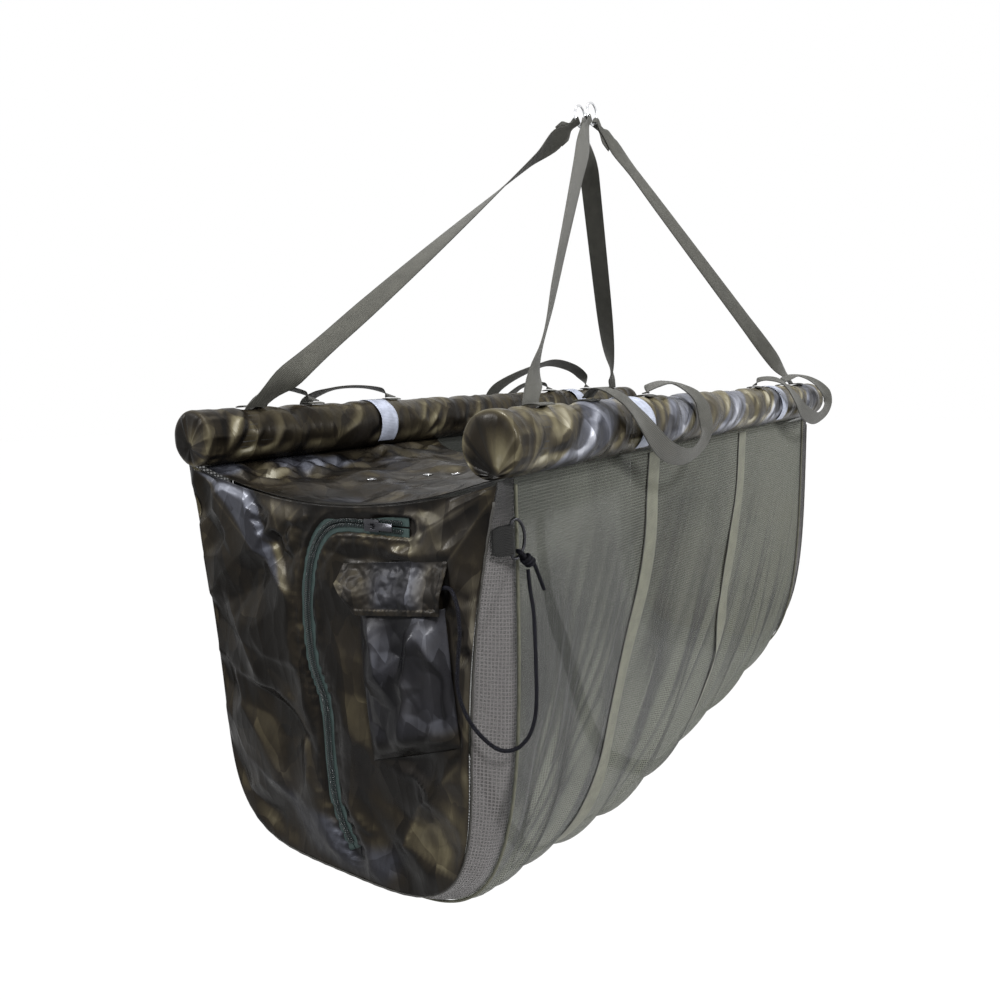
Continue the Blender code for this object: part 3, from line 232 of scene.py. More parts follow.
# Handle routes: along the float, outwards and upwards from its axis, as shares of the span and of the
# radius, then the webbing's turn as a share of half a turn.
HANDLE_SHARES = {
    ("front", "near"): (
        (-0.50, 0.00, 1.088, 0.0), (-0.50, 0.42, 1.40, 0.0), (-0.47, 1.18, 1.06, 0.0),
        (-0.25, 1.40, 0.30, 0.0), (0.16, 1.46, -0.85, 0.0), (0.62, 1.44, -1.28, -0.06),
        (0.99, 1.42, -0.80, -0.14), (1.07, 1.36, 0.00, -0.14), (1.05, 1.00, 0.90, -0.08),
        (0.84, 0.32, 1.44, 0.0), (0.62, 0.05, 1.36, 0.0), (0.50, 0.00, 1.088, 0.0),
    ),
    ("front", "far"): (
        (-0.60, 0.00, 1.088, 0.0), (-0.56, 0.30, 1.40, 0.0), (-0.35, 0.98, 1.25, 0.0),
        (-0.08, 1.38, 0.42, 0.0), (0.32, 1.46, -0.45, 0.0), (0.90, 1.46, -0.95, -0.06),
        (1.42, 1.46, -0.50, -0.14), (1.46, 1.42, 0.36, -0.14), (1.18, 0.90, 1.16, -0.06),
        (0.90, 0.25, 1.50, 0.0), (0.66, 0.05, 1.36, 0.0), (0.50, 0.00, 1.088, 0.0),
    ),
    ("back", "near"): (
        (-0.50, 0.00, 1.088, 0.0), (-0.60, 0.08, 1.45, 0.0), (-0.76, 0.45, 1.60, 0.0),
        (-0.90, 1.05, 1.15, 0.0), (-0.95, 1.44, 0.10, 0.0), (-0.70, 1.46, -0.75, 0.0),
        (-0.36, 1.42, 0.10, 0.0), (-0.36, 0.98, 1.10, 0.0), (-0.22, 0.42, 1.48, 0.0),
        (0.02, 0.20, 1.60, 0.0), (0.32, 0.05, 1.48, 0.0), (0.50, 0.00, 1.088, 0.0),
    ),
    ("back", "far"): (
        (0.50, 0.00, 1.088, 0.0), (0.42, 0.12, 1.80, 0.05), (0.15, 0.25, 2.35, 0.1),
        (-0.30, 0.40, 2.62, 0.12), (-0.75, 0.52, 2.25, 0.14), (-1.15, 0.75, 1.72, 0.16),
        (-1.40, 1.05, 1.10, 0.16), (-1.40, 1.44, 0.25, 0.1), (-1.15, 1.40, 0.35, 0.0),
        (-0.85, 0.85, 1.30, 0.0), (-0.62, 0.20, 1.42, 0.0), (-0.50, 0.00, 1.088, 0.0),
    ),
}  # fmt: skip

# Looks of the zipped end: placed folds (start, end, reach, height), each with a thin painted highlight
# or shade along its line, and facets (corners, soft edge, lighter, cooler), planes painted lighter or
# darker as lit or shaded planes, all across and up from the hook.
PANEL_FOLDS = (
    ((0.209, -0.522), (0.056, -0.653), 0.034, 0.007), ((0.124, -0.530), (0.060, -0.633), 0.02, -0.005),
    ((0.081, -0.766), (0.038, -0.807), 0.016, 0.004), ((0.157, -0.754), (0.147, -0.806), 0.016, 0.004),
    ((0.049, -0.817), (0.044, -0.889), 0.014, 0.004), ((-0.216, -0.518), (-0.093, -0.588), 0.018, 0.007),
    ((-0.214, -0.527), (-0.160, -0.595), 0.014, 0.006), ((-0.049, -0.578), (-0.086, -0.556), 0.01, 0.004),
    ((-0.186, -0.637), (-0.195, -0.701), 0.01, 0.004), ((-0.158, -0.624), (-0.166, -0.741), 0.008, 0.003),
    ((-0.172, -0.791), (-0.114, -0.856), 0.024, 0.007), ((-0.114, -0.856), (-0.088, -0.913), 0.024, 0.007),
    ((-0.101, -0.819), (-0.132, -0.833), 0.01, 0.004), ((0.165, -0.670), (0.110, -0.760), 0.02, 0.004),
    ((0.083, -0.545), (0.063, -0.595), 0.01, 0.004), ((0.053, -0.566), (0.035, -0.548), 0.01, 0.004),
    ((0.130, -0.845), (0.080, -0.900), 0.018, 0.004), ((-0.028, -0.888), (-0.046, -0.906), 0.01, 0.004),
)  # fmt: skip
PANEL_FACETS = (
    (((0.209, -0.520), (0.124, -0.528), (0.090, -0.590), (0.056, -0.653)), 0.008, 0.25, 0.65),
    (((0.100, -0.590), (0.075, -0.600), (0.050, -0.655), (0.062, -0.650)), 0.014, 0.12, -0.7),
    (((0.120, -0.530), (0.045, -0.548), (0.030, -0.600), (0.062, -0.645), (0.092, -0.590)), 0.02, 0.2, 0.0),
    (((0.205, -0.535), (0.058, -0.662), (0.05, -0.80), (0.10, -0.80), (0.17, -0.64)), 0.03, -0.1, 0.0),
    (((-0.045, -0.556), (-0.205, -0.528), (-0.2, -0.60), (-0.06, -0.60)), 0.03, 0.24, 0.05),
    (((-0.215, -0.514), (-0.10, -0.538), (-0.10, -0.556)), 0.012, -0.2, 0.0),
    (((-0.160, -0.60), (-0.21, -0.60), (-0.2, -0.78), (-0.172, -0.77)), 0.012, 0.14, 0.1),
    (
        ((-0.172, -0.791), (-0.188, -0.83), (-0.155, -0.93), (-0.088, -0.913), (-0.114, -0.856)),
        0.006, 0.28, 0.0,
    ),
    (((-0.152, -0.840), (-0.168, -0.875), (-0.14, -0.915), (-0.112, -0.875)), 0.03, 0.3, 0.0),
    (((-0.03, -0.80), (-0.16, -0.79), (-0.11, -0.85), (-0.08, -0.91), (-0.03, -0.90)), 0.02, -0.08, 0.1),
    (((0.085, -0.745), (0.065, -0.755), (0.028, -0.812), (0.045, -0.818)), 0.02, 0.22, 0.0),
    (((0.10, -0.895), (-0.09, -0.925), (-0.05, -0.97), (0.05, -0.96)), 0.03, 0.12, 0.5),
)  # fmt: skip
# Places of the near hood with painted sheen and a cooler colour: X, Y, reach, lighter (painted sheen),
# cooler.
HOOD_PATCHES = (
    (-0.471, 0.179, 0.05, 0.2, 0.7), (-0.40, 0.165, 0.03, 0.2, 0.5), (-0.585, 0.19, 0.035, 0.16, 0.6),
    (-0.53, 0.15, 0.03, 0.15, 0.1), (-0.35, 0.12, 0.035, 0.2, 0.3), (-0.555, 0.02, 0.03, 0.1, 0.6),
    (-0.57, -0.14, 0.05, 0.1, 0.0),
)  # fmt: skip

# Pocket and flap corners on the zipped end: across, then down from the floats' axes.
POCKET_CORNERS = ((-0.050, -0.172), (-0.158, -0.158), (-0.172, -0.298), (-0.060, -0.336))
FLAP_CORNERS = ((-0.030, -0.126), (-0.162, -0.110), (-0.160, -0.163), (-0.052, -0.175))
FLAP_POINT = 0.018

# Fixed light directions for painted light: each cloth is painted lighter where its creases lean towards its
# one
NET_LIGHT = Vector((-0.8, -0.3, 0.5))
GUSSET_LIGHT = Vector((-0.7, -0.4, 0.6))
HOOD_LIGHT = Vector((-0.7, -0.4, 0.5))
END_LIGHT = Vector((0.0, -0.55, 0.8))
POCKET_LIGHT = Vector((0.0, -0.6, 0.75))
FLAP_LIGHT = Vector((0.0, -0.4, 0.9))

# Camera and studio
CAMERA_PLACE = (-1.219, -0.635, -0.418)
CAMERA_AHEAD = (0.822, 0.550, -0.146)
CAMERA_ROLL = math.radians(-1.5)
CAMERA_LENS = 29.7
CAMERA_SENSOR = 36.0
WORLD_LEVEL = 0.5
FLOOR_SIZE = 60.0
FLOOR_Z = -2.2
FLOOR_GLOW = 1.04
FLOOR_GLOW_SHARE = 0.94
# Name, place, aim, size and power.
LAMPS = (
    ("key", (-2.4, -2.4, 1.5), (-0.2, 0, -0.7), 0.4, 110),
    ("side", (0.9, -3.2, 0.4), (0.1, 0, -0.7), 0.6, 60),
    ("top", (-0.5, -0.2, 2.3), (-0.3, 0, -0.6), 0.35, 90),
    ("rear", (-2.8, 1.8, 1.0), (-0.4, 0.1, -0.7), 0.4, 80),
)

X_AXIS = Vector((1, 0, 0))
UP = Vector((0, 0, 1))


def smooth(value):
    value = min(max(value, 0.0), 1.0)
    return value * value * (3 - 2 * value)


def hump(value, middle, reach):
    """From 1 at the middle down to 0 at its reach on either side."""
    return smooth(1 - abs(value - middle) / reach)


def edge_share(share):
    """How far a share is from the nearer edge."""
    return min(share, 1 - share)


def between(low, high, share):
    return low + (high - low) * share


def table_value(share, places, values):
    """The table's value at a share, on a smooth curve through its places."""
    step = max(i for i in range(len(places) - 1) if places[i] <= share or i == 0)
    slopes = []
    for i in (step, step + 1):
        low = max(i - 1, 0)
        high = min(i + 1, len(places) - 1)
        slopes.append((values[high] - values[low]) / (places[high] - places[low]))
    width = places[step + 1] - places[step]
    t = (share - places[step]) / width
    return (
        values[step] * (2 * t**3 - 3 * t**2 + 1)
        + slopes[0] * width * (t**3 - 2 * t**2 + t)
        + values[step + 1] * (3 * t**2 - 2 * t**3)
        + slopes[1] * width * (t**3 - t**2)
    )


def curve_through(spots, steps):
    """Points on a smooth curve through the spots, each a tuple of numbers."""
    found = []
    for i in range(len(spots) - 1):
        before = spots[max(i - 1, 0)]
        after = spots[min(i + 2, len(spots) - 1)]
        for step in range(steps):
            t = step / steps
            values = []
            for a, b, c, d in zip(before, spots[i], spots[i + 1], after):
                slope = (c - a) / 2
                bend = (2 * a - 5 * b + 4 * c - d) / 2
                twist = (3 * (b - c) + d - a) / 2
                values.append(b + slope * t + bend * t**2 + twist * t**3)
            found.append(tuple(values))
    return found + [tuple(spots[-1])]


def crease(phase):
    """A folded line's height, from -1 in the broad valley to 1 on the sharp crest."""
    return 1 - 2 * math.sqrt(math.sin(math.pi * phase) ** 2 + 0.008)


def crumple(u, v, seed, waves, steepness):
    """Height of crumpled cloth: planes folded to and fro at each wave length, faded out in places."""
    height = 0.0
    for step, wave in enumerate(waves):
        for turn in (0, 1, 2):
            shift = seed * 5.1 + step * 7.3 + turn * 3.7
            angle = seed * 1.3 + step * 2.2 + turn * 1.1
            spot = Vector((u / wave, v / wave, shift))
            phase = (u * math.cos(angle) + v * math.sin(angle)) / wave + noise.noise(spot * 0.35) * 0.7
            strength = smooth(0.15 + 2.3 * noise.noise(spot * 0.5 + Vector((9.1, 4.2, shift))))
            fold = abs((phase % 1.0) * 2 - 1) * 2 - 1
            height += wave * steepness * strength * fold
    return height


SECTIONS = {}


def section(x):
    """The U across the bag at x: points (y, z) from the front float to the back one, with their lengths."""
    key = round(x * 100000)
    if key not in SECTIONS:
        share = x / HALF_LENGTH
        depth = BAG_DEPTH * table_value(share, STATION_SHARES, DEPTH_SHARES)
        half = HALF_SPACING * table_value(share, STATION_SHARES, WIDTH_SHARES)
        lean = HALF_SPACING * table_value(share, STATION_SHARES, LEAN_SHARES)
        power = table_value(share, STATION_SHARES, SQUARENESS_SHARES)
        bow = table_value(share, STATION_SHARES, BOW_SHARES)
        points = []
        for step in range(-90, 91):
            angle = math.radians(step)
            sine = math.sin(angle)
            down = abs(math.cos(angle)) ** (2 / power) if abs(step) < 90 else 0.0
            y = math.copysign(abs(sine) ** (2 / power), sine) * half
            points.append((lean + y * (1 + bow * math.sin(math.pi * down)), TOP_Z - depth * down))
        lengths = [0.0]
        for (y0, z0), (y1, z1) in zip(points, points[1:]):
            lengths.append(lengths[-1] + math.hypot(y1 - y0, z1 - z0))
        SECTIONS[key] = (points, lengths)
    return SECTIONS[key]


def section_point(x, share):
    points, lengths = section(x)
    goal = min(max(share, 0.0), 1.0) * lengths[-1]
    low, high = 0, len(points) - 1
    while high - low > 1:
        middle = (low + high) // 2
        if lengths[middle] < goal:
            low = middle
        else:
            high = middle
    part = (goal - lengths[low]) / (lengths[low + 1] - lengths[low])
    y = between(points[low][0], points[low + 1][0], part)
    z = between(points[low][1], points[low + 1][1], part)
    return Vector((x, y, z))


def outwards(x, share):
    reach = 0.01
    along = section_point(x, share + reach) - section_point(x, share - reach)
    return Vector((0, along.z, -along.y)).normalized()


def fold(x, share):
    """How far the cloth stands out: broad folds from the floats to the middle of the floor."""
    down = edge_share(share) / SIDE_SHARE
    held = smooth(down) * smooth((CORNER_X - abs(x)) / (GUSSET_WIDTH * 2))
    leaning = x / CORNER_X / (1 - FOLD_LEAN_SHARE * smooth(down))
    return FOLD_DEPTH * held * math.sin(math.pi * FOLD_COUNT * leaning + 2 * down)


def fine_fold(x, share):
    """Narrow folds where the net pulls slantwise, sharpest low down."""
    down = edge_share(share) / SIDE_SHARE
    held = smooth(down * 1.2) * smooth((CORNER_X - abs(x)) / GUSSET_WIDTH)
    slant = x + FOLD_SLANT * down
    height = 0.0
    for wave, depth in FINE_FOLDS:
        warp = noise.noise(Vector((slant / 0.15, down * 0.9, wave * 90)))
        strength = smooth(0.55 + 1.3 * noise.noise(Vector((slant / 0.11, down * 0.7, wave * 40))))
        height += depth * strength * crease(slant / wave + warp * 1.6)
    return held * height


def skin(x, share):
    return section_point(x, share) + outwards(x, share) * (fold(x, share) + fine_fold(x, share))


def float_axis(side):
    return Vector((FLOAT_SHIFT[side], SIDES[side] * HALF_SPACING, FLOAT_Z))


def round_float(side, x, angle, radius):
    """A point round a float: the angle runs from the outer side over the top."""
    axis = float_axis(side)
    return Vector((x, axis.y + SIDES[side] * math.cos(angle) * radius, axis.z + math.sin(angle) * radius))


def ridge_z(y):
    half = HALF_SPACING * WIDTH_SHARES[0]
    return TOP_Z - RIDGE_SAG * max(1 - (y / half) ** 2, 0.0)


def end_bulge(y, z):
    """How far the nylon end stands out from its flat plane."""
    half = HALF_SPACING * WIDTH_SHARES[0]
    down = min(max((TOP_Z - z) / (BAG_DEPTH * DEPTH_SHARES[0]), 0.0), 1.0)
    crown = END_CROWN * max(1 - (y / half) ** 2, 0.0) * math.sin(math.pi * down)
    loose = smooth((y / half - 0.3) * 3) * math.sin(math.pi * down)
    return crown + FOLD_DEPTH * loose * (1 + math.sin(math.pi * (2.5 * y / half + 2 * down))) / 2


def on_end(end, y, z, lift=0.0):
    """A point on a nylon end, at a height above its cloth."""
    return Vector((ENDS[end] * (HALF_LENGTH + end_bulge(y, z) + lift), y, z))


def quad_point(corners, across, down):
    """A point in a four-cornered patch: across from its left to its right edge, down from its top edge."""
    top_left, top_right, low_right, low_left = (Vector((0, y, z + FLOAT_Z)) for y, z in corners)
    return top_left.lerp(top_right, across).lerp(low_left.lerp(low_right, across), down)


def linked(name, data):
    """A new object, put in the scene."""
    thing = bpy.data.objects.new(name, data)
    bpy.context.scene.collection.objects.link(thing)
    return thing


def dress(mesh, finish):
    """Gives a mesh its finish and smooth shading."""
    mesh.materials.clear()
    mesh.materials.append(finish)
    mesh.polygons.foreach_set("use_smooth", [True] * len(mesh.polygons))


def bevel(piece, name, width):
    edge = piece.modifiers.new(name, "BEVEL")
    edge.width = width
    edge.segments = 2
    edge.limit_method = "ANGLE"
    return edge


def join(name, points, faces, corner_places, finish):
    """A mesh object from its points, its faces and each face corner's place on the cloth, in metres."""
    mesh = bpy.data.meshes.new(name)
    mesh.from_pydata([tuple(point) for point in points], [], faces)
    places = mesh.uv_layers.new(name="cloth").data
    for loop, place in enumerate(corner_places):
        places[loop].uv = place
    dress(mesh, finish)
    return linked(name, mesh)


def cloth(
    name, columns, rows, place, finish, size, thickness=NYLON, closed=False, inside_out=False, holes=(),
    look=None,
):  # fmt: skip
    """A cloth: a grid laid out by place(across, down), both from 0 to 1, with its size for the weave."""
    width = columns if closed else columns + 1
    spots = [(i / columns, row / rows) for row in range(rows + 1) for i in range(width)]
    points = [place(*spot) for spot in spots]
    inside = set()
    for number, point in enumerate(points):
        for centre, reach in holes:
            if (point - centre).length < reach:
                inside.add(number)
                points[number] = centre + (point - centre).normalized() * reach
    faces, places = [], []
    for row in range(rows):
        for column in range(columns):
            beside = (column + 1) % width
            corners = [(column, row, column), (beside, row, column + 1), (beside, row + 1, column + 1)]
            corners.append((column, row + 1, column))
            if inside_out:
                corners.reverse()
            face = [r * width + c for c, r, _ in corners]
            if inside.issuperset(face):
                continue
            faces.append(face)
            places += [(u / columns * size[0], r / rows * size[1]) for _, r, u in corners]
    piece = join(name, points, faces, places, finish)
    # The look paints each point's tone, mostly light and shade from its lean and placed highlights, and
    # gives its coolness.
    if look:
        normals = [vert.normal.copy() for vert in piece.data.vertices]
        looks = [look(*spot, point, normal) for spot, point, normal in zip(spots, points, normals)]
        for number, key in enumerate(("tone", "cool")):
            values = piece.data.attributes.new(key, "FLOAT", "POINT").data
            values.foreach_set("value", [found[number] for found in looks])
    if thickness:
        wall = piece.modifiers.new("wall", "SOLIDIFY")
        wall.thickness = thickness
        wall.offset = 0
    return piece


def lean_tone(normal, base, light, gain):
    """Painted light and shade: how much lighter or darker a spot is painted than smooth cloth, for the way
    its crease leans towards a fixed light.
    """
    if normal.dot(base) < 0:
        normal = -normal
    return (normal - base).dot(light) * gain


def ribbon(name, points, sides, widths, thickness, finish, columns=4):
    """A webbing: a flat band through the points, its width lying along each side direction."""
    last = len(points) - 1
    length = sum((b - a).length for a, b in zip(points, points[1:]))

    def place(across, down):
        step = round(down * last)
        return points[step] + sides[step] * (widths[step] * (across - 0.5))

    piece = cloth(name, columns, last, place, finish, (max(widths), length), thickness)
    bevel(piece, "selvedge", thickness * 0.3)
    return piece


def rope(name, points, radius, finish, around=10):
    """A round cord through the points, closed at its ends, with places on it for the braid."""
    last = len(points) - 1
    verts, faces, places = [], [], []
    across = None
    runs = [0.0]
    for i, point in enumerate(points):
        after = points[min(i + 1, last)]
        along = (after - points[max(i - 1, 0)]).normalized()
        across = (across or along.orthogonal()).normalized()
        across = (across - along * across.dot(along)).normalized()
        over = along.cross(across)
        for step in range(around):
            angle = 2 * math.pi * step / around
            verts.append(point + (across * math.cos(angle) + over * math.sin(angle)) * radius)
        runs.append(runs[-1] + (after - point).length)
    ring = 2 * math.pi * radius
    for i in range(last):
        here, following = i * around, (i + 1) * around
        for step in range(around):
            beside = (step + 1) % around
            faces.append((here + step, here + beside, following + beside, following + step))
            for u, v in ((step, i), (step + 1, i), (step + 1, i + 1), (step, i + 1)):
                places.append((u / around * ring, runs[v]))
    faces.append(tuple(reversed(range(around))))
    faces.append(tuple(last * around + step for step in range(around)))
    places += [(0.0, 0.0)] * around + [(0.0, runs[last])] * around
    return join(name, verts, faces, places, finish)


def refined(node, name, finish, levels=1, rounding=0.0):
    """A finer copy of a CAD piece: its loose triangles merged, then rounded or smoothed."""
    mesh = nodes[node].data.copy()
    shape = bmesh.new()
    shape.from_mesh(mesh)
    bmesh.ops.remove_doubles(shape, verts=shape.verts, dist=0.00001)
    bmesh.ops.dissolve_limit(shape, angle_limit=0.02, verts=shape.verts, edges=shape.edges)
    shape.to_mesh(mesh)
    shape.free()
    dress(mesh, finish)
    piece = linked(name, mesh)
    if rounding:
        bevel(piece, "rounding", rounding).harden_normals = True
    else:
        finer = piece.modifiers.new("finer", "SUBSURF")
        finer.levels = levels
        finer.render_levels = levels
    return piece


def settle(piece, body, slot, *replaced):
    """Puts a piece on its body and hides the CAD nodes that it stands for. Its slot is not used."""
    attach(piece, body)
    if replaced:
        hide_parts(*replaced)
    return piece


# Node helpers
def add(tree, kind, sockets=None, **settings):
    """A new node; each socket gets a value, or a link where it is given another node's output."""
    node = tree.nodes.new(kind)
    for key, value in settings.items():
        setattr(node, key, value)
    for key, value in (sockets or {}).items():
        if isinstance(value, bpy.types.NodeSocket):
            tree.links.new(value, node.inputs[key])
        else:
            node.inputs[key].default_value = value
    return node


def sum_of(tree, operation, first, second=0.0, third=0.0):
    return add(tree, "ShaderNodeMath", {0: first, 1: second, 2: third}, operation=operation).outputs[0]


def stretch(tree, value, low, high, to_low=0.0, to_high=1.0):
    node = add(tree, "ShaderNodeMapRange", {0: value, 1: low, 2: high, 3: to_low, 4: to_high})
    node.interpolation_type = "SMOOTHSTEP"
    return node.outputs[0]


def cloud(tree, place, scale, detail=3.0, distortion=0.0):
    """An uneven value round 0.5, with features at the scale."""
    sockets = {"Vector": place, "Scale": scale, "Detail": detail, "Roughness": 0.55}
    sockets["Distortion"] = distortion
    return add(tree, "ShaderNodeTexNoise", sockets).outputs["Fac"]


def blend_colours(tree, share, first, second):
    node = add(tree, "ShaderNodeMix", {0: share, 6: first, 7: second}, data_type="RGBA")
    return node.outputs[2]


def tones(tree, value, stops):
    node = add(tree, "ShaderNodeValToRGB", {0: value})
    ramp = node.color_ramp
    ramp.elements[0].position, ramp.elements[1].position = stops[0][0], stops[-1][0]
    for place, _ in stops[1:-1]:
        ramp.elements.new(place)
    for element, (_, colour) in zip(ramp.elements, stops):
        element.color = shade(colour)
    return node.outputs[0]


def leaned(tree, height, distance, below=None):
    """The normal of a bumped surface, over another bump where one is given."""
    sockets = {"Height": height, "Distance": distance, "Strength": 1.0}
    if below:
        sockets["Normal"] = below
    return add(tree, "ShaderNodeBump", sockets).outputs[0]


def bump(tree, shader, height, distance, below=None):
    tree.links.new(leaned(tree, height, distance, below), shader.inputs["Normal"])


def painted(tree, name):
    """Each spot's own value of an attribute."""
    return add(tree, "ShaderNodeAttribute", attribute_name=name).outputs["Fac"]


def shade(colour, share=1.0):
    return (*(level * share for level in colour), 1.0)


def new_finish(name, roughness, metallic=0.0, specular=0.5):
    finish = bpy.data.materials.new(name)
    finish.use_nodes = True
    shader = finish.node_tree.nodes["Principled BSDF"]
    shader.inputs["Roughness"].default_value = roughness
    shader.inputs["Metallic"].default_value = metallic
    shader.inputs["Specular IOR Level"].default_value = specular
    return finish, finish.node_tree, shader


def cloth_place(tree):
    """Across and along the cloth, in metres, from its own map."""
    place = add(tree, "ShaderNodeUVMap", uv_map="cloth").outputs[0]
    parts = add(tree, "ShaderNodeSeparateXYZ", {0: place})
    return place, parts.outputs[0], parts.outputs[1]


def object_place(tree):
    return add(tree, "ShaderNodeTexCoord").outputs["Object"]


def wave_of(tree, value, pitch):
    """A round wave from 0 to 1 at the pitch."""
    phase = sum_of(tree, "MULTIPLY", value, 2 * math.pi / pitch)
    return sum_of(tree, "MULTIPLY_ADD", sum_of(tree, "SINE", phase), 0.5, 0.5)


# Finishes
# The nylon's colours by tone, from the deepest painted shade at 0 to the brightest painted highlight at 1,
# warm and cool.
WARM_TONES = (
    (0.0, (0.003, 0.0024, 0.0018)), (0.3, (0.0125, 0.010, 0.0068)), (0.52, (0.036, 0.030, 0.0185)),
    (0.76, (0.098, 0.086, 0.053)), (1.0, (0.29, 0.272, 0.21)),
)  # fmt: skip
COOL_TONES = (
    (0.0, (0.004, 0.004, 0.005)), (0.3, (0.015, 0.0152, 0.0185)), (0.52, (0.044, 0.046, 0.056)),
    (0.76, (0.12, 0.126, 0.15)), (1.0, (0.32, 0.33, 0.37)),
)  # fmt: skip
# Scale, depth and contrast of the nylon's larger and smaller planes; the contrast is how much lighter or
# darker each plane is painted.
NYLON_PLANES = ((24.0, 0.0036, 0.26), (60.0, 0.0013, 0.16))


def spread(tree, tone, level, contrast):
    """The tone, lighter and darker by half the contrast where the level is 1 and 0."""
    return sum_of(tree, "MULTIPLY_ADD", level, contrast, sum_of(tree, "SUBTRACT", tone, contrast / 2))


def warped(tree, place, scale):
    """Places that wander a little, so that creases between planes aren't straight."""
    sockets = {"Vector": place, "Scale": scale * 0.6, "Detail": 3.0}
    wandering = add(tree, "ShaderNodeTexNoise", sockets).outputs["Color"]
    away = add(tree, "ShaderNodeVectorMath", {0: wandering, "Scale": 0.7 / scale}, operation="SCALE")
    return add(tree, "ShaderNodeVectorMath", {0: place, 1: away.outputs[0]}).outputs[0]


def cells(tree, place, scale, output):
    """Cells that are about as wide as the scale says, with wandering borders."""
    sockets = {"Vector": warped(tree, place, scale), "Scale": scale}
    return add(tree, "ShaderNodeTexVoronoi", sockets).outputs[output]


def facets(tree, place, scale, tone, contrast):
    """The tone with flat planes, each painted its own lightness as if lit from its own angle."""
    level = add(tree, "ShaderNodeSeparateXYZ", {0: cells(tree, place, scale, "Color")}).outputs[0]
    return spread(tree, tone, level, contrast)


def nylon_finish(name, roughness=0.33):
    """Coated nylon: each spot's painted light and shade and its coolness, soft streaks, a fine weave, and
    small planes that meet at sharp creases, painted lighter where they lean towards a fixed light and each
    painted its own lightness."""
    finish, tree, shader = new_finish(name, roughness, 0.08, 0.08)
    place = object_place(tree)
    turned = {0: place, 2: (0.55, 0.0, 0.35), 3: (1.0, 0.8, 0.35)}
    pulled = add(tree, "ShaderNodeMapping", turned).outputs[0]
    fine = cloud(tree, pulled, 210.0, 3.0, 0.3)
    tone = spread(tree, painted(tree, "tone"), cloud(tree, pulled, 34.0, 5.0, 0.7), 0.26)
    tone = spread(tree, tone, fine, 0.1)
    creased = None
    for scale, depth, _ in NYLON_PLANES:
        creased = leaned(tree, cells(tree, pulled, scale, "Distance"), depth, creased)
    # Painted light: the planes are lighter where their bumped normals lean towards a fixed light.
    flat = add(tree, "ShaderNodeNewGeometry").outputs["Normal"]
    leant = add(tree, "ShaderNodeVectorMath", {0: creased, 1: flat}, operation="SUBTRACT").outputs[0]
    lit = add(tree, "ShaderNodeVectorMath", {0: leant, 1: (-0.5, -0.35, 0.8)}, operation="DOT_PRODUCT")
    tone = sum_of(tree, "MULTIPLY_ADD", lit.outputs["Value"], 0.8, tone)
    for scale, _, contrast in NYLON_PLANES:
        tone = facets(tree, pulled, scale, tone, contrast)
    drift = cloud(tree, place, 8.0, 3.0, 0.6)
    cool = painted(tree, "cool")
    share = stretch(tree, sum_of(tree, "MULTIPLY_ADD", drift, 0.7, cool), 0.45, 0.95)
    colour = blend_colours(tree, share, tones(tree, tone, WARM_TONES), tones(tree, tone, COOL_TONES))
    tree.links.new(colour, shader.inputs["Base Color"])
    worn = cloud(tree, place, 24.0, 3.0)
    dulled = stretch(tree, worn, 0.3, 0.7, roughness - 0.08, roughness + 0.12)
    tree.links.new(dulled, shader.inputs["Roughness"])
    bump(tree, shader, fine, 0.0002, creased)
    return finish


def net_finish(name, dark, light, pitch, cover):
    """Soft net: threads both ways with half-clear gaps between them, painted darker in its gaps as shade,
    and painted lighter or darker by its tone, where it leans to the light. Its attribute cool closes the
    gaps where painted shade darkens it."""
    finish, tree, shader = new_finish(name, 0.75, specular=0.2)
    _, across, along = cloth_place(tree)
    weft = wave_of(tree, across, pitch)
    warp = wave_of(tree, along, pitch * 1.2)
    threads = sum_of(tree, "MAXIMUM", weft, warp)
    drift = cloud(tree, object_place(tree), 6.0, 4.0, 0.4)
    tone = spread(tree, painted(tree, "tone"), drift, 0.7)
    colour = blend_colours(tree, stretch(tree, tone, 0.0, 1.0), shade(dark), shade(light))
    # Painted shade: the gaps between the threads are darker.
    gaps = stretch(tree, threads, 0.6, 1.0, 0.4, 0.0)
    colour = blend_colours(tree, gaps, colour, shade(dark, 0.4))
    tree.links.new(colour, shader.inputs["Base Color"])
    filled = sum_of(tree, "ADD", stretch(tree, threads, 0.5, 0.95, *cover), painted(tree, "cool"))
    tree.links.new(sum_of(tree, "MINIMUM", filled, 1.0), shader.inputs["Alpha"])
    bump(tree, shader, threads, 0.0004)
    shader.inputs["Sheen Weight"].default_value = 0.1
    return finish


def webbing_finish(name, light, dark, width, rows=(0.0021, 0.0016), lined=False, sheen=0.12):
    """Woven webbing: ribs across, rows along with painted shade where the weave sinks, darker edges, faint
    wear, and a dark line where asked.
    """
    finish, tree, shader = new_finish(name, 0.62, specular=0.2)
    place, across, along = cloth_place(tree)
    ribs = wave_of(tree, sum_of(tree, "MULTIPLY_ADD", across, 0.6, along), rows[1])
    lines = wave_of(tree, across, rows[0])
    weave = sum_of(tree, "MULTIPLY", ribs, lines)
    worn = cloud(tree, place, 45.0, 4.0)
    colour = blend_colours(tree, stretch(tree, worn, 0.25, 0.75), shade(dark), shade(light))
    # Painted shade where the weave sinks.
    sunk = stretch(tree, weave, 0.1, 0.8, 0.4, 0.0)
    colour = blend_colours(tree, sunk, colour, shade(dark, 0.3))
    off_middle = sum_of(tree, "ABSOLUTE", sum_of(tree, "SUBTRACT", across, width / 2))
    edge = stretch(tree, off_middle, width * 0.44, width * 0.48, 0.0, 0.45)
    colour = blend_colours(tree, edge, colour, shade(dark, 0.4))
    if lined:
        stripe = stretch(tree, across, 0.0034, 0.0022, 0.0, 0.9)
        colour = blend_colours(tree, stripe, colour, (0.012, 0.012, 0.01, 1.0))
    tree.links.new(colour, shader.inputs["Base Color"])
    bump(tree, shader, weave, 0.0005)
    shader.inputs["Sheen Weight"].default_value = sheen
    return finish


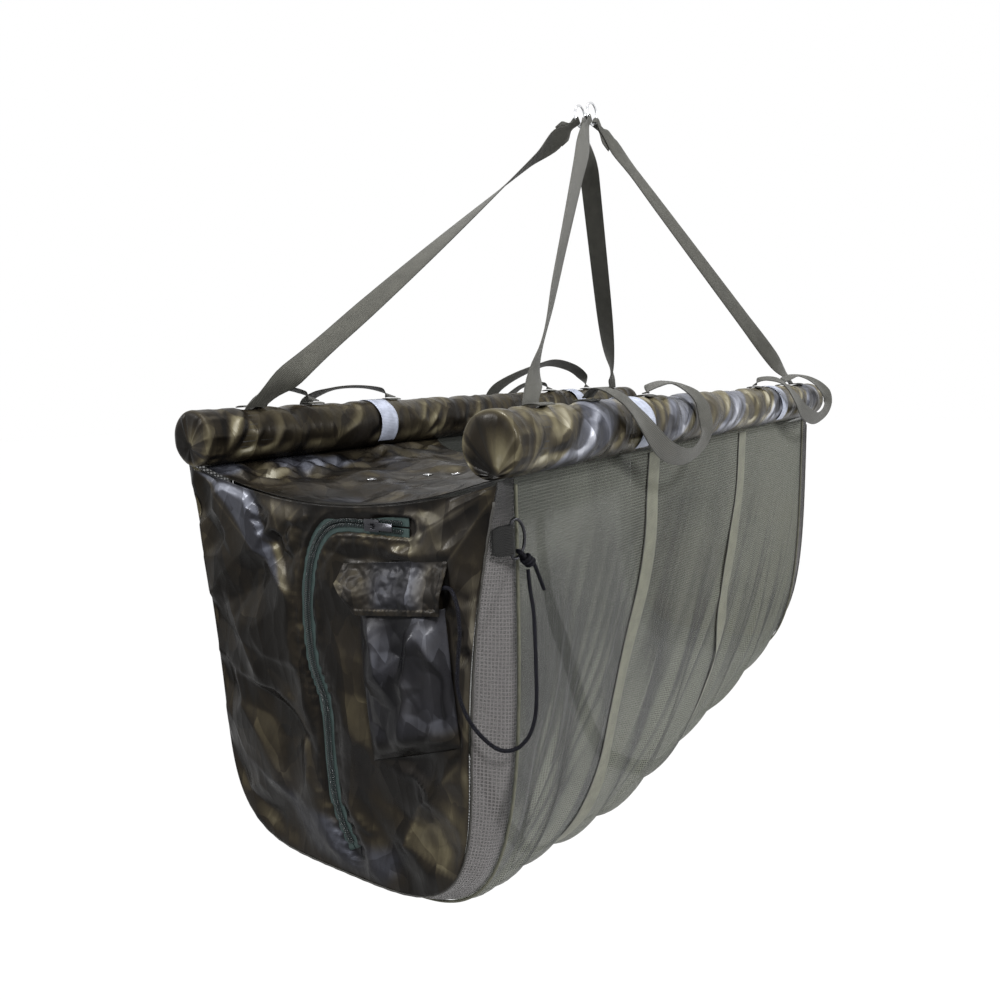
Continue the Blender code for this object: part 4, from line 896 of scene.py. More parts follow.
def braid_finish(name, dark, fleck):
    """Braided cord: strands that cross slantwise, with lighter flecks."""
    finish, tree, shader = new_finish(name, 0.5, specular=0.08)
    place, across, along = cloth_place(tree)
    left = wave_of(tree, sum_of(tree, "ADD", across, along), 0.0021)
    right = wave_of(tree, sum_of(tree, "SUBTRACT", across, along), 0.0021)
    strands = sum_of(tree, "MAXIMUM", left, right)
    flecks = cloud(tree, place, 600.0, 1.0)
    share = sum_of(tree, "MULTIPLY", stretch(tree, flecks, 0.5, 0.75), strands)
    colour = blend_colours(tree, share, shade(dark), shade(fleck))
    tree.links.new(colour, shader.inputs["Base Color"])
    bump(tree, shader, strands, 0.0004)
    return finish


def metal_finish(name, colour, roughness):
    """Wire and die-cast metal, a little uneven, with fine scuffs."""
    finish, tree, shader = new_finish(name, roughness, 1.0)
    place = object_place(tree)
    scuffs = cloud(tree, place, 400.0, 4.0)
    toned = blend_colours(tree, stretch(tree, scuffs, 0.3, 0.7), shade(colour), shade(colour, 0.8))
    tree.links.new(toned, shader.inputs["Base Color"])
    dulled = stretch(tree, scuffs, 0.3, 0.75, roughness * 0.7, roughness * 1.6)
    tree.links.new(dulled, shader.inputs["Roughness"])
    bump(tree, shader, cloud(tree, place, 900.0, 2.0), 0.00004)
    return finish


def tape_finish(name, colour, roughness, pitch, specular=0.4):
    """Tightly woven tape: a fine herringbone, with painted shade where the weave sinks."""
    finish, tree, shader = new_finish(name, roughness, specular=specular)
    place, across, along = cloth_place(tree)
    rows = wave_of(tree, along, pitch)
    lines = wave_of(tree, across, pitch)
    weave = sum_of(tree, "MULTIPLY", rows, lines)
    uneven = cloud(tree, place, 70.0, 3.0)
    uneven = stretch(tree, uneven, 0.3, 0.7, 0.0, 0.35)
    toned = blend_colours(tree, uneven, shade(colour), shade(colour, 0.0))
    # Painted shade where the weave sinks.
    sunk = stretch(tree, weave, 0.0, 0.7, 0.3, 0.0)
    toned = blend_colours(tree, sunk, toned, shade(colour, 0.5))
    tree.links.new(toned, shader.inputs["Base Color"])
    bump(tree, shader, weave, 0.0003)
    return finish


def foam_finish():
    finish, tree, shader = new_finish("float_foam", 0.9)
    pores = cloud(tree, object_place(tree), 500.0, 3.0)
    colour = tones(tree, pores, ((0.3, (0.01, 0.01, 0.01)), (0.7, (0.035, 0.035, 0.035))))
    tree.links.new(colour, shader.inputs["Base Color"])
    bump(tree, shader, pores, 0.0003)
    return finish


nylon = nylon_finish("crinkled_nylon")
flap_nylon = nylon_finish("flap_nylon", 0.4)
side_net = net_finish("side_net", (0.023, 0.025, 0.021), (0.155, 0.161, 0.133), 0.0035, (0.36, 0.74))
brown_net = net_finish("brown_net", (0.012, 0.0112, 0.011), (0.125, 0.118, 0.117), 0.0036, (0.58, 0.86))
far_net = net_finish("far_net", (0.07, 0.048, 0.024), (0.22, 0.155, 0.085), 0.003, (0.85, 0.95))
strap_webbing = webbing_finish("strap_webbing", (0.064, 0.063, 0.051), (0.042, 0.041, 0.033), STRAP_WIDTH)
handle_webbing = webbing_finish(
    "handle_webbing", (0.066, 0.065, 0.054), (0.042, 0.041, 0.034), HANDLE_WIDTH
)
girth_webbing = webbing_finish(
    "girth_webbing", (0.17, 0.172, 0.122), (0.11, 0.112, 0.08), GIRTH_WIDTH, (0.0026, 0.0022), lined=True
)
tab_webbing = webbing_finish(
    "tab_webbing", (0.008, 0.008, 0.0075), (0.004, 0.004, 0.0038), TAB_WIDTH, sheen=0.02
)
piping_finish = tape_finish("piping_tape", (0.12, 0.12, 0.09), 0.7, 0.0016, 0.15)
seam_finish = tape_finish("seam_tape", (0.03, 0.028, 0.024), 0.55, 0.0018)
zip_tape = tape_finish("zip_tape_weave", (0.035, 0.056, 0.053), 0.5, 0.0014, 0.15)
coil_finish = tape_finish("zip_coil_nylon", (0.008, 0.012, 0.013), 0.25, 0.004, 0.5)
band_finish = tape_finish("reflective_tape_weave", (0.38, 0.41, 0.5), 0.4, 0.0022, 0.3)
cord_braid = braid_finish("cord_braid", (0.002, 0.002, 0.0035), (0.014, 0.014, 0.023))
chrome = metal_finish("bright_chrome", (0.8, 0.81, 0.83), 0.12)
dark_metal = metal_finish("dark_metal", (0.045, 0.045, 0.05), 0.3)
foam = foam_finish()


def place_camera():
    """The photograph's viewing place, from the zipped end and the front."""
    ahead = Vector(CAMERA_AHEAD).normalized()
    right = ahead.cross(UP).normalized()
    over = right.cross(ahead)
    lens = bpy.data.cameras.new("camera")
    lens.lens = CAMERA_LENS
    lens.sensor_width = CAMERA_SENSOR
    lens.clip_start = 0.01
    camera = linked("camera", lens)
    turned = Matrix((right, over, -ahead)).transposed().to_4x4()
    roll = Matrix.Rotation(CAMERA_ROLL, 4, "Z")
    camera.matrix_world = Matrix.Translation(Vector(CAMERA_PLACE)) @ turned @ roll
    bpy.context.scene.camera = camera


def hank_points():
    """The spare cord's turns inside the pocket, from the inner end out."""
    middle = quad_point(POCKET_CORNERS, 0.5, 0.57)
    turns = 24
    points = []
    for step in range(turns * HANK_LOOPS, -1, -1):
        angle = 2 * math.pi * step / turns
        loop = step / turns
        y = middle.y + (HANK_WIDTH / 2 - HANK_STEP_IN * loop) * math.sin(angle)
        z = middle.z + (HANK_LENGTH / 2 - HANK_STEP_IN * loop) * math.cos(angle)
        points.append(on_end("near", y, z, NYLON + CORD_RADIUS + HANK_PITCH * loop))
    return points


def retaining_cord(knot):
    """One cord: its hank in the pocket, out of the mouth, down in a loop and up to the knot."""
    route = [(spot.x + HALF_LENGTH, spot.y, spot.z - FLOAT_Z) for spot in hank_points()[-1:]]
    route += list(CORD_LEAD) + list(CORD_ROUTE)
    free = [Vector((x - HALF_LENGTH, y, z + FLOAT_Z)) for x, y, z in curve_through(route, 4)]
    points = hank_points()[:-1] + free
    piece = rope("retaining_cord_braid", points, CORD_RADIUS, cord_braid)
    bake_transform(piece)
    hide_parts("retaining_cord", "cord_hank")


def bow_point(angle):
    """A point on the D's bow from its bar's middle, as it hangs a little off the bag."""
    reach = D_DEPTH * max(math.cos(angle), 0.0) ** D_BOW_POWER
    return D_HANG * reach + Vector((0, 0, D_WIDTH / 2 * math.sin(angle)))


def d_bar():
    x, y, z = D_PLACE
    return Vector((x - HALF_LENGTH, y, z + FLOAT_Z))


def cord_knot():
    """A turn round the D-ring's wire, three turns round the cord's own standing part, and a short tail."""
    reach = 0.05
    wire = d_bar() + bow_point(-KNOT_PLACE_ANGLE)
    turn = D_WIRE + RUNNING_GAP + CORD_RADIUS
    along = (bow_point(reach - KNOT_PLACE_ANGLE) - bow_point(-reach - KNOT_PLACE_ANGLE)).normalized()
    out = (D_HANG * along.z - UP * along.dot(D_HANG)).normalized()
    across = out.cross(along)
    lap = CORD_RADIUS * 2.1
    points = [wire + out * (turn + KNOT_RADIUS * 1.6), wire + out * (turn + KNOT_RADIUS * 0.6)]
    for step in range(1, KNOT_STEPS):
        sweep = 2 * math.pi * step / KNOT_STEPS
        side = along * (CORD_RADIUS * 0.9 * (step * 2 / KNOT_STEPS - 1))
        points.append(wire + (out * math.cos(sweep) + across * math.sin(sweep)) * turn + side)
    first = 5
    for step in range(first, 3 * KNOT_STEPS + 1):
        sweep = 2 * math.pi * step / KNOT_STEPS
        down = turn + CORD_RADIUS + CORD_RADIUS * 2 * (step - first) / KNOT_STEPS
        points.append(wire + out * down + (along * math.cos(sweep) - across * math.sin(sweep)) * lap)
    last = points[-1]
    points += [last + Vector(KNOT_TAIL) * (step / 6) for step in range(1, 7)]
    smoothed = [Vector(spot) for spot in curve_through([tuple(point) for point in points], 2)]
    piece = rope("cord_knot_braid", smoothed, CORD_RADIUS, cord_braid)
    return settle(piece, "tether_ring", "braided_cord", "cord_knot")


place_camera()
retaining_cord(cord_knot())


# Floats
def sleeve_height(side, x, angle, spot):
    """How far the sleeve's slant creases stand out or in: sharp crests with broad valleys between them."""
    seed = 1.0 if side == "front" else 6.0
    slant = SIDES[side]
    height = 0.0
    ring = 2 * math.pi * FLOAT_RADIUS
    for number, (laps, wave, steep) in enumerate(SLEEVE_CREASES):
        shift = seed * 3.3 + number * 2.9
        span = 1 / math.hypot(laps / ring, 1 / wave)
        phase = slant * laps * angle / (2 * math.pi) + x / wave
        phase += 0.7 * noise.noise(spot * 9 + Vector((shift, 0, 0)))
        strength = smooth(0.3 + 2.2 * noise.noise(spot * 10 + Vector((0, shift, 0))))
        height += span * steep * strength * (crease(phase) + 0.27)
    return height


def sleeve(side):
    """The nylon sleeve, one tube over the foam: slant creases along it, gathered and pleated ends."""
    middle = float_axis(side).x
    around, along, rim_rows = SLEEVE_GRID
    rows = along + 2 * rim_rows
    radius = FLOAT_RADIUS - NYLON / 2
    gather = GATHER_DROP_SHARE[side]

    def place(across, down):
        angle = 2 * math.pi * across
        row = down * rows
        from_end = min(row, rows - row)
        sign = -1 if row < rows / 2 else 1
        tip = middle + sign * HALF_LENGTH
        turn = Vector((math.cos(angle), math.sin(angle), SIDES[side] * 3 + sign))
        pleat = abs(((angle * 9 / (2 * math.pi) + 0.8 * noise.noise(turn * 1.4)) % 1.0) * 2 - 1)
        pleat *= 0.45 + 0.9 * smooth(0.5 + noise.noise(turn * 2.3))
        if from_end < rim_rows:
            part = from_end / rim_rows
            wide = math.sin(part * math.pi / 2) ** 0.8
            reach = math.sqrt(max(1 - part**2.4, 0.0))
            deep = PLEAT_DEPTH * math.sin(math.pi * min(part * 1.15, 1.0)) * pleat + 0.003 * (1 - part) ** 3
            spot = round_float(side, tip - sign * (CAP_DEPTH * (1 - reach) + deep), angle, radius * wide)
            return spot + Vector((0, SIDES[side] * 0.25, -1)) * radius * gather * (1 - wide)
        part = (row - rim_rows) / along
        x = between(middle - HALF_LENGTH + CAP_DEPTH, middle + HALF_LENGTH - CAP_DEPTH, part)
        near_rim = (from_end - rim_rows) / along * FLOAT_LENGTH
        base = round_float(side, x, angle, radius)
        loose = smooth(near_rim / 0.03)
        drawn = (0.0014 - sleeve_height(side, x, angle, base)) * loose
        under = smooth((-math.sin(angle) - 0.3) * 2)
        drawn = min(max(drawn * (1 - under), 0.0), SLEEVE_DRAW)
        drawn += math.exp(-near_rim / 0.016) * 0.0011 * pleat
        return round_float(side, x, angle, radius - drawn)

    def look(across, down, point, normal):
        angle = 2 * math.pi * across
        radial = Vector((0, SIDES[side] * math.cos(angle), math.sin(angle)))
        row = down * rows
        from_end = min(row, rows - row)
        base = radial
        level, gain = SLEEVE_LEVEL[side]
        if from_end < rim_rows:
            part = smooth(from_end / rim_rows)
            end = Vector((-1 if row < rows / 2 else 1, 0, 0))
            base = (radial * part + end * (1 - part)).normalized()
            # Painted light and shade on the gathered end: lighter where it faces front and up, darker
            # elsewhere.
            level += (0.6 * radial.dot(Vector((0, -0.8, 0.6))) - 0.26) * (1 - part)
            gain *= 0.2 + 0.5 * part
        seam = math.exp(-(((from_end - rim_rows - 6) / 1.2) ** 2))
        # Painted light: lighter where creases lean towards the light and on the side that faces it, with a
        # darker line at the rim seam.
        tone = level + lean_tone(normal, base, SLEEVE_LIGHT, gain)
        tone = tone + 0.14 * radial.dot(SLEEVE_LIGHT) - 0.15 * seam
        band = math.sin(2 * math.pi * (point.x / 0.235 + SIDES[side] * angle / (2 * math.pi) + 0.1))
        blue = smooth((band - 0.2) * 2.2) * smooth((from_end - rim_rows - 3) / 8)
        return tone, BAND_COOLNESS[side] * blue

    size = (2 * math.pi * FLOAT_RADIUS, FLOAT_LENGTH)
    piece = cloth(
        f"sleeve_{side}", around, rows, place, nylon, size, 0.0, closed=True, inside_out=side == "front",
        look=look,
    )  # fmt: skip
    shape = bmesh.new()
    shape.from_mesh(piece.data)
    bmesh.ops.remove_doubles(shape, verts=shape.verts, dist=0.00002)
    bmesh.ops.recalc_face_normals(shape, faces=shape.faces)
    shape.to_mesh(piece.data)
    shape.free()
    caps = [f"sleeve_cap_{side}_{end}" for end in ENDS]
    settle(piece, "sling", "camo_nylon", f"float_sleeve_{side}", *caps)


def reflective_band(side, end):
    middle = ENDS[end] * HALF_LENGTH * BAND_PLACE_SHARE

    def place(across, down):
        angle = between(-math.pi / 2 + BAND_OPEN_ANGLE, math.pi * 3 / 2 - BAND_OPEN_ANGLE, across)
        x = middle + BAND_WIDTH * (down - 0.5)
        ripple = 0.0005 * noise.noise(Vector((angle * 2.2, x * 90, SIDES[side])))
        waver = 0.0012 * noise.noise(Vector((angle * 1.6, SIDES[side] * 3.0, ENDS[end] * 5.0)))
        return round_float(side, x + waver, angle, FLOAT_RADIUS + SEAM_GAP + 0.0003 + ripple)

    length = (FLOAT_RADIUS + SEAM_GAP) * (2 * math.pi - 2 * BAND_OPEN_ANGLE)
    name = f"reflective_band_{side}_{end}"
    piece = cloth(f"{name}_tape", 60, 10, place, band_finish, (length, BAND_WIDTH), 0.0006)
    settle(piece, "sling", "reflective_tape", name)


# Straps, rings and handles
def tack_spots(side, x, lift, steps):
    """Points over the top of a float, under a sewn foot."""
    angles = [math.pi / 2 + TACK_WRAP_ANGLE * (step / steps - 0.5) for step in range(steps + 1)]
    return [round_float(side, x, angle, lift) for angle in angles]


def half_turn(centre, start, over, radius):
    """Points on half a turn round a centre, from the start direction past the one over it."""
    angles = [math.pi * step / TURN_STEPS for step in range(TURN_STEPS + 1)]
    return [centre + (start * math.cos(angle) + over * math.sin(angle)) * radius for angle in angles]


def hanging_strap(side, end):
    """A strap: sewn round the top of its float, up to its ring with a twist, round the wire and back."""
    sign = ENDS[end]
    foot_x = float_axis(side).x + sign * STRAP_PLACE
    lift = FLOAT_RADIUS + SEAM_GAP + WEBBING / 2
    centre = Vector((0, SIDES[side] * RING_SPACING / 2, -(RING_RADIUS - RING_WIRE)))
    swing = Vector((sign * math.sin(EYE_ANGLE), 0, -math.cos(EYE_ANGLE)))
    wire = Vector((math.cos(EYE_ANGLE), 0, sign * math.sin(EYE_ANGLE)))
    eye = centre + swing * RING_RADIUS
    foot = round_float(side, foot_x, math.pi / 2 + TACK_WRAP_ANGLE / 2, lift)
    up = (eye - foot).normalized()
    normal = up.cross(wire).normalized()
    level = (X_AXIS - up * up.x).normalized()
    layer = (WEBBING + RUNNING_GAP) / 2
    radius = RING_WIRE + EYE_SLACK + WEBBING / 2
    twists = STRAP_TWIST_SHARES[(side, end)]
    final = math.atan2(level.cross(wire).dot(up), level.dot(wire))
    landing = final - math.pi * round((final - twists[-1] * math.pi) / math.pi)
    points, sides, widths = [], [], []

    def put(point, across, width=STRAP_WIDTH):
        points.append(point)
        sides.append(across)
        widths.append(width)

    for spot in tack_spots(side, foot_x, lift, TACK_STEPS // 2):
        put(spot, X_AXIS)
    bend = points[-1] + up * WEBBING * 2 + Vector((0, 0, WEBBING))
    put(bend, X_AXIS)
    run_end = eye - up * EYE_LENGTH - normal * layer
    for step in range(1, RUN_STEPS + 1):
        share = step / RUN_STEPS
        twist = table_value(share, TWIST_PLACE_SHARES, twists) * math.pi
        twist = between(twist, landing, smooth((share - 0.85) / 0.13))
        across = Matrix.Rotation(twist, 3, up) @ level
        across = X_AXIS.lerp(across, smooth(share * 9)).normalized()
        pinch = between(1, EYE_PINCH_SHARE, smooth((share - 0.93) / 0.07))
        put(bend.lerp(run_end, share), across, STRAP_WIDTH * pinch)
    landed = 1 if sides[-1].dot(wire) > 0 else -1
    narrow = STRAP_WIDTH * EYE_PINCH_SHARE
    for spot in half_turn(eye, -normal, up, radius):
        put(spot, wire * landed, narrow)
    tail = eye + normal * layer
    across = sides[-1] - up * sides[-1].dot(up)
    for step in range(TAIL_STEPS + 1):
        share = between(STRAP_PLAIN_SHARE, 1.0, step / TAIL_STEPS)
        width = between(narrow, STRAP_WIDTH, smooth((share - STRAP_PLAIN_SHARE) / 0.4))
        put(tail - up * STRAP_TAIL * share, across.normalized(), width)
    name = f"hanging_strap_{side}_{end}"
    piece = ribbon(f"{name}_webbing", points, sides, widths, WEBBING, strap_webbing)
    settle(piece, "sling", "webbing", name)


def handle_tacks(side, end):
    """The two sewn feet of a handle, flat on the sleeve."""
    middle = float_axis(side).x + ENDS[end] * HANDLE_PLACE
    shares = HANDLE_SHARES[(side, end)]
    places = sorted(middle + spot[0] * HANDLE_SPAN for spot in (shares[0], shares[-1]))
    lift = FLOAT_RADIUS + SEAM_GAP / 2 + HANDLE_WEBBING / 2
    for number, x in enumerate(places):
        points = tack_spots(side, x, lift, TACK_STEPS)
        name = f"handle_tack_{side}_{end}_{number + 1}"
        sides, widths = [X_AXIS] * len(points), [HANDLE_WIDTH] * len(points)
        piece = ribbon(f"{name}_webbing", points, sides, widths, HANDLE_WEBBING, handle_webbing)
        settle(piece, "sling", "webbing", name)


def carry_handle(side, end):
    """A handle's loop along its route, the webbing turned evenly from each place to the next."""
    axis = float_axis(side)
    middle = axis.x + ENDS[end] * HANDLE_PLACE
    fine = 4
    spots = curve_through(HANDLE_SHARES[(side, end)], 2 * fine)
    coarse = spots[::fine]
    points, sides = [], []
    for along, out, up, _ in spots:
        y = axis.y + SIDES[side] * out * FLOAT_RADIUS
        points.append(Vector((middle + along * HANDLE_SPAN, y, axis.z + up * FLOAT_RADIUS)))
    marks = points[::fine]
    turned = []
    for i, point in enumerate(marks):
        along = (marks[min(i + 1, len(marks) - 1)] - marks[max(i - 1, 0)]).normalized()
        radial = Vector((0, point.y - axis.y, point.z - axis.z)).normalized()
        flat = along.cross(radial).normalized()
        foot = Vector((1 if flat.x > 0 else -1, 0, 0))
        leaning = Matrix.Rotation(math.pi * coarse[i][3], 3, along) @ flat
        loose = smooth(min(i, len(marks) - 1 - i) / 2)
        turned.append(foot.lerp(leaning, loose).normalized())
    for i in range(1, len(turned)):
        if turned[i].dot(turned[i - 1]) < 0:
            turned[i] = -turned[i]
    for i in range(len(points)):
        mark = min(i // fine, len(turned) - 2)
        sides.append(turned[mark].lerp(turned[mark + 1], (i - mark * fine) / fine).normalized())
    name = f"carry_handle_{side}_{end}"
    widths = [HANDLE_WIDTH] * len(points)
    piece = ribbon(f"{name}_webbing", points, sides, widths, HANDLE_WEBBING, handle_webbing)
    settle(piece, f"handle_{side}_{end}", "webbing", name)


# Bag
def net_look(across, down, point, normal):
    """How light the net is painted: painted highlights on the crests of its folds, lighter where they lean
    to the light and high up at the far end. Painted shade darkens the upper part of its back, with its gaps
    closed."""
    base = Vector((0, normal.y, normal.z)).normalized()
    tone = 0.42 + lean_tone(normal, base, NET_LIGHT, 2.6)
    crest = smooth((fine_fold(point.x, down) - 0.0014) / 0.0007)
    side_share = edge_share(down) / SIDE_SHARE
    shaded = smooth((down - 0.86) / 0.05)
    tone += 0.8 * crest * smooth(side_share * 1.4) + 0.12 * smooth(1 - side_share * 1.6)
    high_far = smooth((point.x + 0.1) / 0.5) * (1 - smooth(side_share * 1.2 - 0.2))
    tone += 0.35 * high_far - 0.12 * smooth(side_share)
    return tone - 0.5 * shaded, 0.6 * shaded


def bag():
    """The net: both sides and the floor in one piece."""

    def place(across, down):
        return skin(between(-CORNER_X + SEAM_GAP, CORNER_X - SEAM_GAP, across), down)

    size = (2 * CORNER_X, NET_GIRTH)
    wall = MESH_CLOTH * 0.6
    piece = cloth("bag_net", *NET_GRID, place, side_net, size, wall, inside_out=True, look=net_look)
    settle(piece, "sling", "mesh", "mesh_side_front", "mesh_side_back", "mesh_floor")


def gusset(end):
    """The net strip that boxes the nylon end to the sides and floor, a little slack between its seams."""
    outer = HALF_LENGTH - NYLON / 2 - SEAM_GAP

    def place(across, down):
        x = ENDS[end] * between(outer, CORNER_X + SEAM_GAP, across)
        slack = math.sin(math.pi * across) * smooth(edge_share(down) * 8)
        ripple = noise.noise(Vector((down * 14, across * 1.5, ENDS[end])))
        return section_point(x, down) + outwards(x, down) * slack * (0.0015 + 0.005 * ripple)

    def look(across, down, point, normal):
        away = min(max(down, 0.02), 0.98)
        base = outwards(point.x, away)
        # Painted light where creases lean to the light, and a painted shadow band on the near gusset.
        shadow = 0.4 * hump(down, 0.27, 0.1) if end == "near" else 0.0
        return 0.42 + lean_tone(normal, base, GUSSET_LIGHT, 3.2) - shadow, 0.0

    name = f"gusset_{end}"
    size = (GUSSET_WIDTH, GUSSET_GIRTH)
    wall = MESH_CLOTH * 0.6
    piece = cloth(
        f"{name}_net", *GUSSET_GRID, place, brown_net, size, wall, inside_out=end == "near", look=look
    )
    settle(piece, "sling", "brown_mesh", name)


def seam_piping(end):
    """A bound seam between the gusset and the sides, standing just proud of both."""
    x = ENDS[end] * CORNER_X
    lift = MESH_CLOTH / 2 + PIPING_GAP + PIPING_RADIUS
    points = []
    for step in range(1, 180):
        share = step / 180
        points.append(section_point(x, share) + outwards(x, share) * lift)
    name = f"seam_piping_{end}"
    settle(rope(f"{name}_tape", points, PIPING_RADIUS, piping_finish), "sling", "light_webbing", name)


def end_seam(end):
    """The turned edge where a nylon end is sewn to its gusset."""
    x = ENDS[end] * HALF_LENGTH
    points = []
    for step in range(3, 198):
        share = step / 200
        spot = section_point(x, share) + outwards(x, share) * 0.0004
        points.append(spot + Vector((0.0003 * math.sin(step * 1.9), 0, 0)))
    piece = rope(f"end_seam_{end}", points, 0.0014, seam_finish, around=8)
    settle(piece, "sling", "camo_nylon")


def girth_strap(end, place_share):
    """Light webbing sewn down the front, under the floor and up the back, clear of the folds below it."""
    middle = CORNER_X * place_share
    points, sides = [], []
    for step in range(GIRTH_STEPS + 1):
        share = between(0.004, 0.996, step / GIRTH_STEPS)
        down = edge_share(share) / SIDE_SHARE
        x = middle + GIRTH_SWAY * math.sin(math.pi * (2.6 * down + middle)) * smooth(down * 4)
        left, right = (skin(x + side * GIRTH_WIDTH / 2, share) for side in (-1, 1))
        spot = (left + right) / 2
        out = outwards(x, share)
        folds = [skin(x + GIRTH_WIDTH * part, share) - spot for part in (-0.25, 0, 0.25)]
        proud = max(fold_top.dot(out) for fold_top in folds)
        points.append(spot + out * (GIRTH_STANDOFF + max(proud, 0.0)))
        sides.append((right - left).normalized())
    name = f"girth_strap_{end}"
    widths = [GIRTH_WIDTH] * len(points)
    piece = ribbon(f"{name}_webbing", points, sides, widths, WEBBING / 2, girth_webbing, 6)
    settle(piece, "sling", "light_webbing", name)


# Hoods
def hood_point(end, across, down):
    """A point on a hood, the roof between the floats: across from front to back, down from ridge to hem."""
    half = HALF_SPACING - MESH_CLOTH / 2 - SEAM_GAP * 2
    y = between(-half, half, across)
    reach = between(HOOD_MID_LENGTH, HOOD_SIDE_LENGTH, (y / half) ** 2)
    x = HALF_LENGTH - NYLON / 2 - SEAM_GAP - reach * down
    ridge = between(RIDGE_SAG, HEM_SAG, down)
    z = TOP_Z - NYLON / 2 - ridge * (1 - (y / half) ** 2)
    return Vector((ENDS[end] * x, y, z))


def hood(end):
    """A hood: creases that run from its corners, flat round the eyelets and at its seams."""
    holes = EYELET_PLACE_SHARES if end == "near" else ()
    eyelets = [hood_point("near", across, down) for down, across in holes]
    seed = 2.0 if end == "near" else 4.0

    def place(across, down):
        spot = hood_point(end, across, down)
        held = smooth(edge_share(across) * 9) * smooth(down * 14) * smooth((1 - down) * 12)
        for centre in eyelets:
            held *= smooth(((spot - centre).length - 0.007) / 0.02)
        seamward = smooth((spot.y / HALF_SPACING - 0.45) * 3)
        height = crumple(spot.x, spot.y, seed, (0.17, 0.09), 0.035)
        height += crumple(spot.x, spot.y, seed + 1, (0.06, 0.035), 0.1) * seamward
        corner = Vector((ENDS[end] * HALF_LENGTH, -HALF_SPACING, spot.z))
        away = spot - corner
        fan = crease(math.atan2(abs(away.x) + 0.001, away.y) * 2.6) * 0.03
        height += min(away.length, 0.1) * fan * smooth((0.32 - away.length) / 0.2)
        return spot + Vector((0, 0, height * held))

    def look(across, down, point, normal):
        # Painted light and shade: lighter where creases lean to the light, darker along the ridge and the
        # hem, and painted sheen at the listed patches.
        tone = 0.09 + lean_tone(normal, UP, HOOD_LIGHT, 1.2)
        tone -= 0.08 * smooth(1 - edge_share(down) / 0.012)
        cool = 0.1
        for x, y, reach, lighter, cooler in HOOD_PATCHES if end == "near" else ():
            share = smooth(1.4 - math.hypot(point.x - x, (point.y - y) * 1.6) / reach)
            tone += lighter * share
            cool += cooler * share
        return tone, cool

    size = (2 * HALF_SPACING, HOOD_SIDE_LENGTH)
    holes = [(centre, EYELET_HOLE) for centre in eyelets]
    piece = cloth(
        f"hood_{end}_nylon", 130, 120, place, nylon, size, NYLON, inside_out=end == "far", holes=holes,
        look=look,
    )  # fmt: skip
    settle(piece, "sling", "camo_nylon", f"hood_{end}")


# Zipped end
def zip_line(steps):
    """Close-set spots on the zip, and each one's run from the top stop."""
    spots = [Vector((0, y, z + FLOAT_Z)) for y, z in curve_through(ZIP_ROUTE, steps)]
    runs = [0.0]
    for a, b in zip(spots, spots[1:]):
        runs.append(runs[-1] + (b - a).length)
    return spots, runs


def zip_frames(pitch):
    """The run, place, direction and side of evenly spaced spots on the zip."""
    spots, runs = zip_line(ZIP_STEPS)
    frames = []
    goal, step = 0.0, 0
    while goal <= runs[-1]:
        while step < len(runs) - 2 and runs[step + 1] < goal:
            step += 1
        part = (goal - runs[step]) / (runs[step + 1] - runs[step])
        point = spots[step].lerp(spots[step + 1], part)
        along = (spots[min(step + 9, len(spots) - 1)] - spots[max(step - 8, 0)]).normalized()
        frames.append((goal, point, along, Vector((0, along.z, -along.y))))
        goal += pitch
    return frames


zip_spots = zip_line(ZIP_STEPS)[0]
ZIP_TREE = kdtree.KDTree(len(zip_spots))
for number, spot in enumerate(zip_spots):
    ZIP_TREE.insert(spot, number)
ZIP_TREE.balance()


def in_patch(corners, y, z, margin):
    """From 0 outside a patch, its corners given in turn, to 1 inside it."""
    inside = 1.0
    edges = list(zip(corners, corners[1:] + corners[:1]))
    turn = sum(y0 * z1 - y1 * z0 for (y0, z0), (y1, z1) in edges)
    for (y0, z0), (y1, z1) in edges:
        off = ((y1 - y0) * (z - z0) - (z1 - z0) * (y - y0)) / math.hypot(y1 - y0, z1 - z0)
        inside = min(inside, smooth(0.5 + math.copysign(off, off * turn) / margin))
    return inside


def lowered(corners):
    return tuple((y, z + FLOAT_Z) for y, z in corners)


def panel_fold(y, z, start, end, reach):
    """From 1 on a fold's line to 0 at its reach, fading at its ends."""
    run = math.hypot(end[0] - start[0], end[1] - start[1])
    along = ((y - start[0]) * (end[0] - start[0]) + (z - start[1]) * (end[1] - start[1])) / run
    off = ((y - start[0]) * (end[1] - start[1]) - (z - start[1]) * (end[0] - start[0])) / run
    fade = smooth((along / run + 0.15) / 0.3) * smooth((1.15 - along / run) / 0.3)
    return max(1 - abs(off) / reach, 0.0) ** 1.4 * fade


def panel_relief(y, z):
    """The zipped end's creases, as a height outwards: crumples, placed folds, and the zip's valley between
    its two sewn and puckered welts."""
    _, _, away = ZIP_TREE.find(Vector((0, y, z)))
    clear_of_zip = smooth((away - WELT_PLACE - WELT_WIDTH) / 0.014)
    sewn = max(in_patch(lowered(corners), y, z, 0.014) for corners in (POCKET_CORNERS, FLAP_CORNERS))
    height = crumple(y, z, 3.0, (0.15, 0.08), 0.05)
    crinkled = smooth(1.6 - math.hypot(y - 0.06, (z + 0.565) * 1.2) / 0.05)
    crinkled = max(crinkled, smooth(1.5 - math.hypot((y + 0.19) * 2.2, z + 0.7) / 0.08))
    height += crumple(y, z, 7.0, (0.034, 0.019), 0.12) * crinkled
    for start, end, reach, lift in PANEL_FOLDS:
        height += lift * panel_fold(y, z, start, end, reach)
    height = min(max(height, -0.009), 0.0045) * clear_of_zip * (1 - sewn)
    valley = VALLEY_DEPTH * smooth((WELT_PLACE - WELT_WIDTH / 2 - away) / 0.002 + 1.0)
    welt = WELT_HEIGHT * hump(away, WELT_PLACE, WELT_WIDTH)
    pucker = PUCKER_DEPTH * noise.noise(Vector((y * 150, z * 150, 2.2)))
    return height - valley + welt + pucker * smooth(1.3 - abs(away - 0.018) / 0.008)


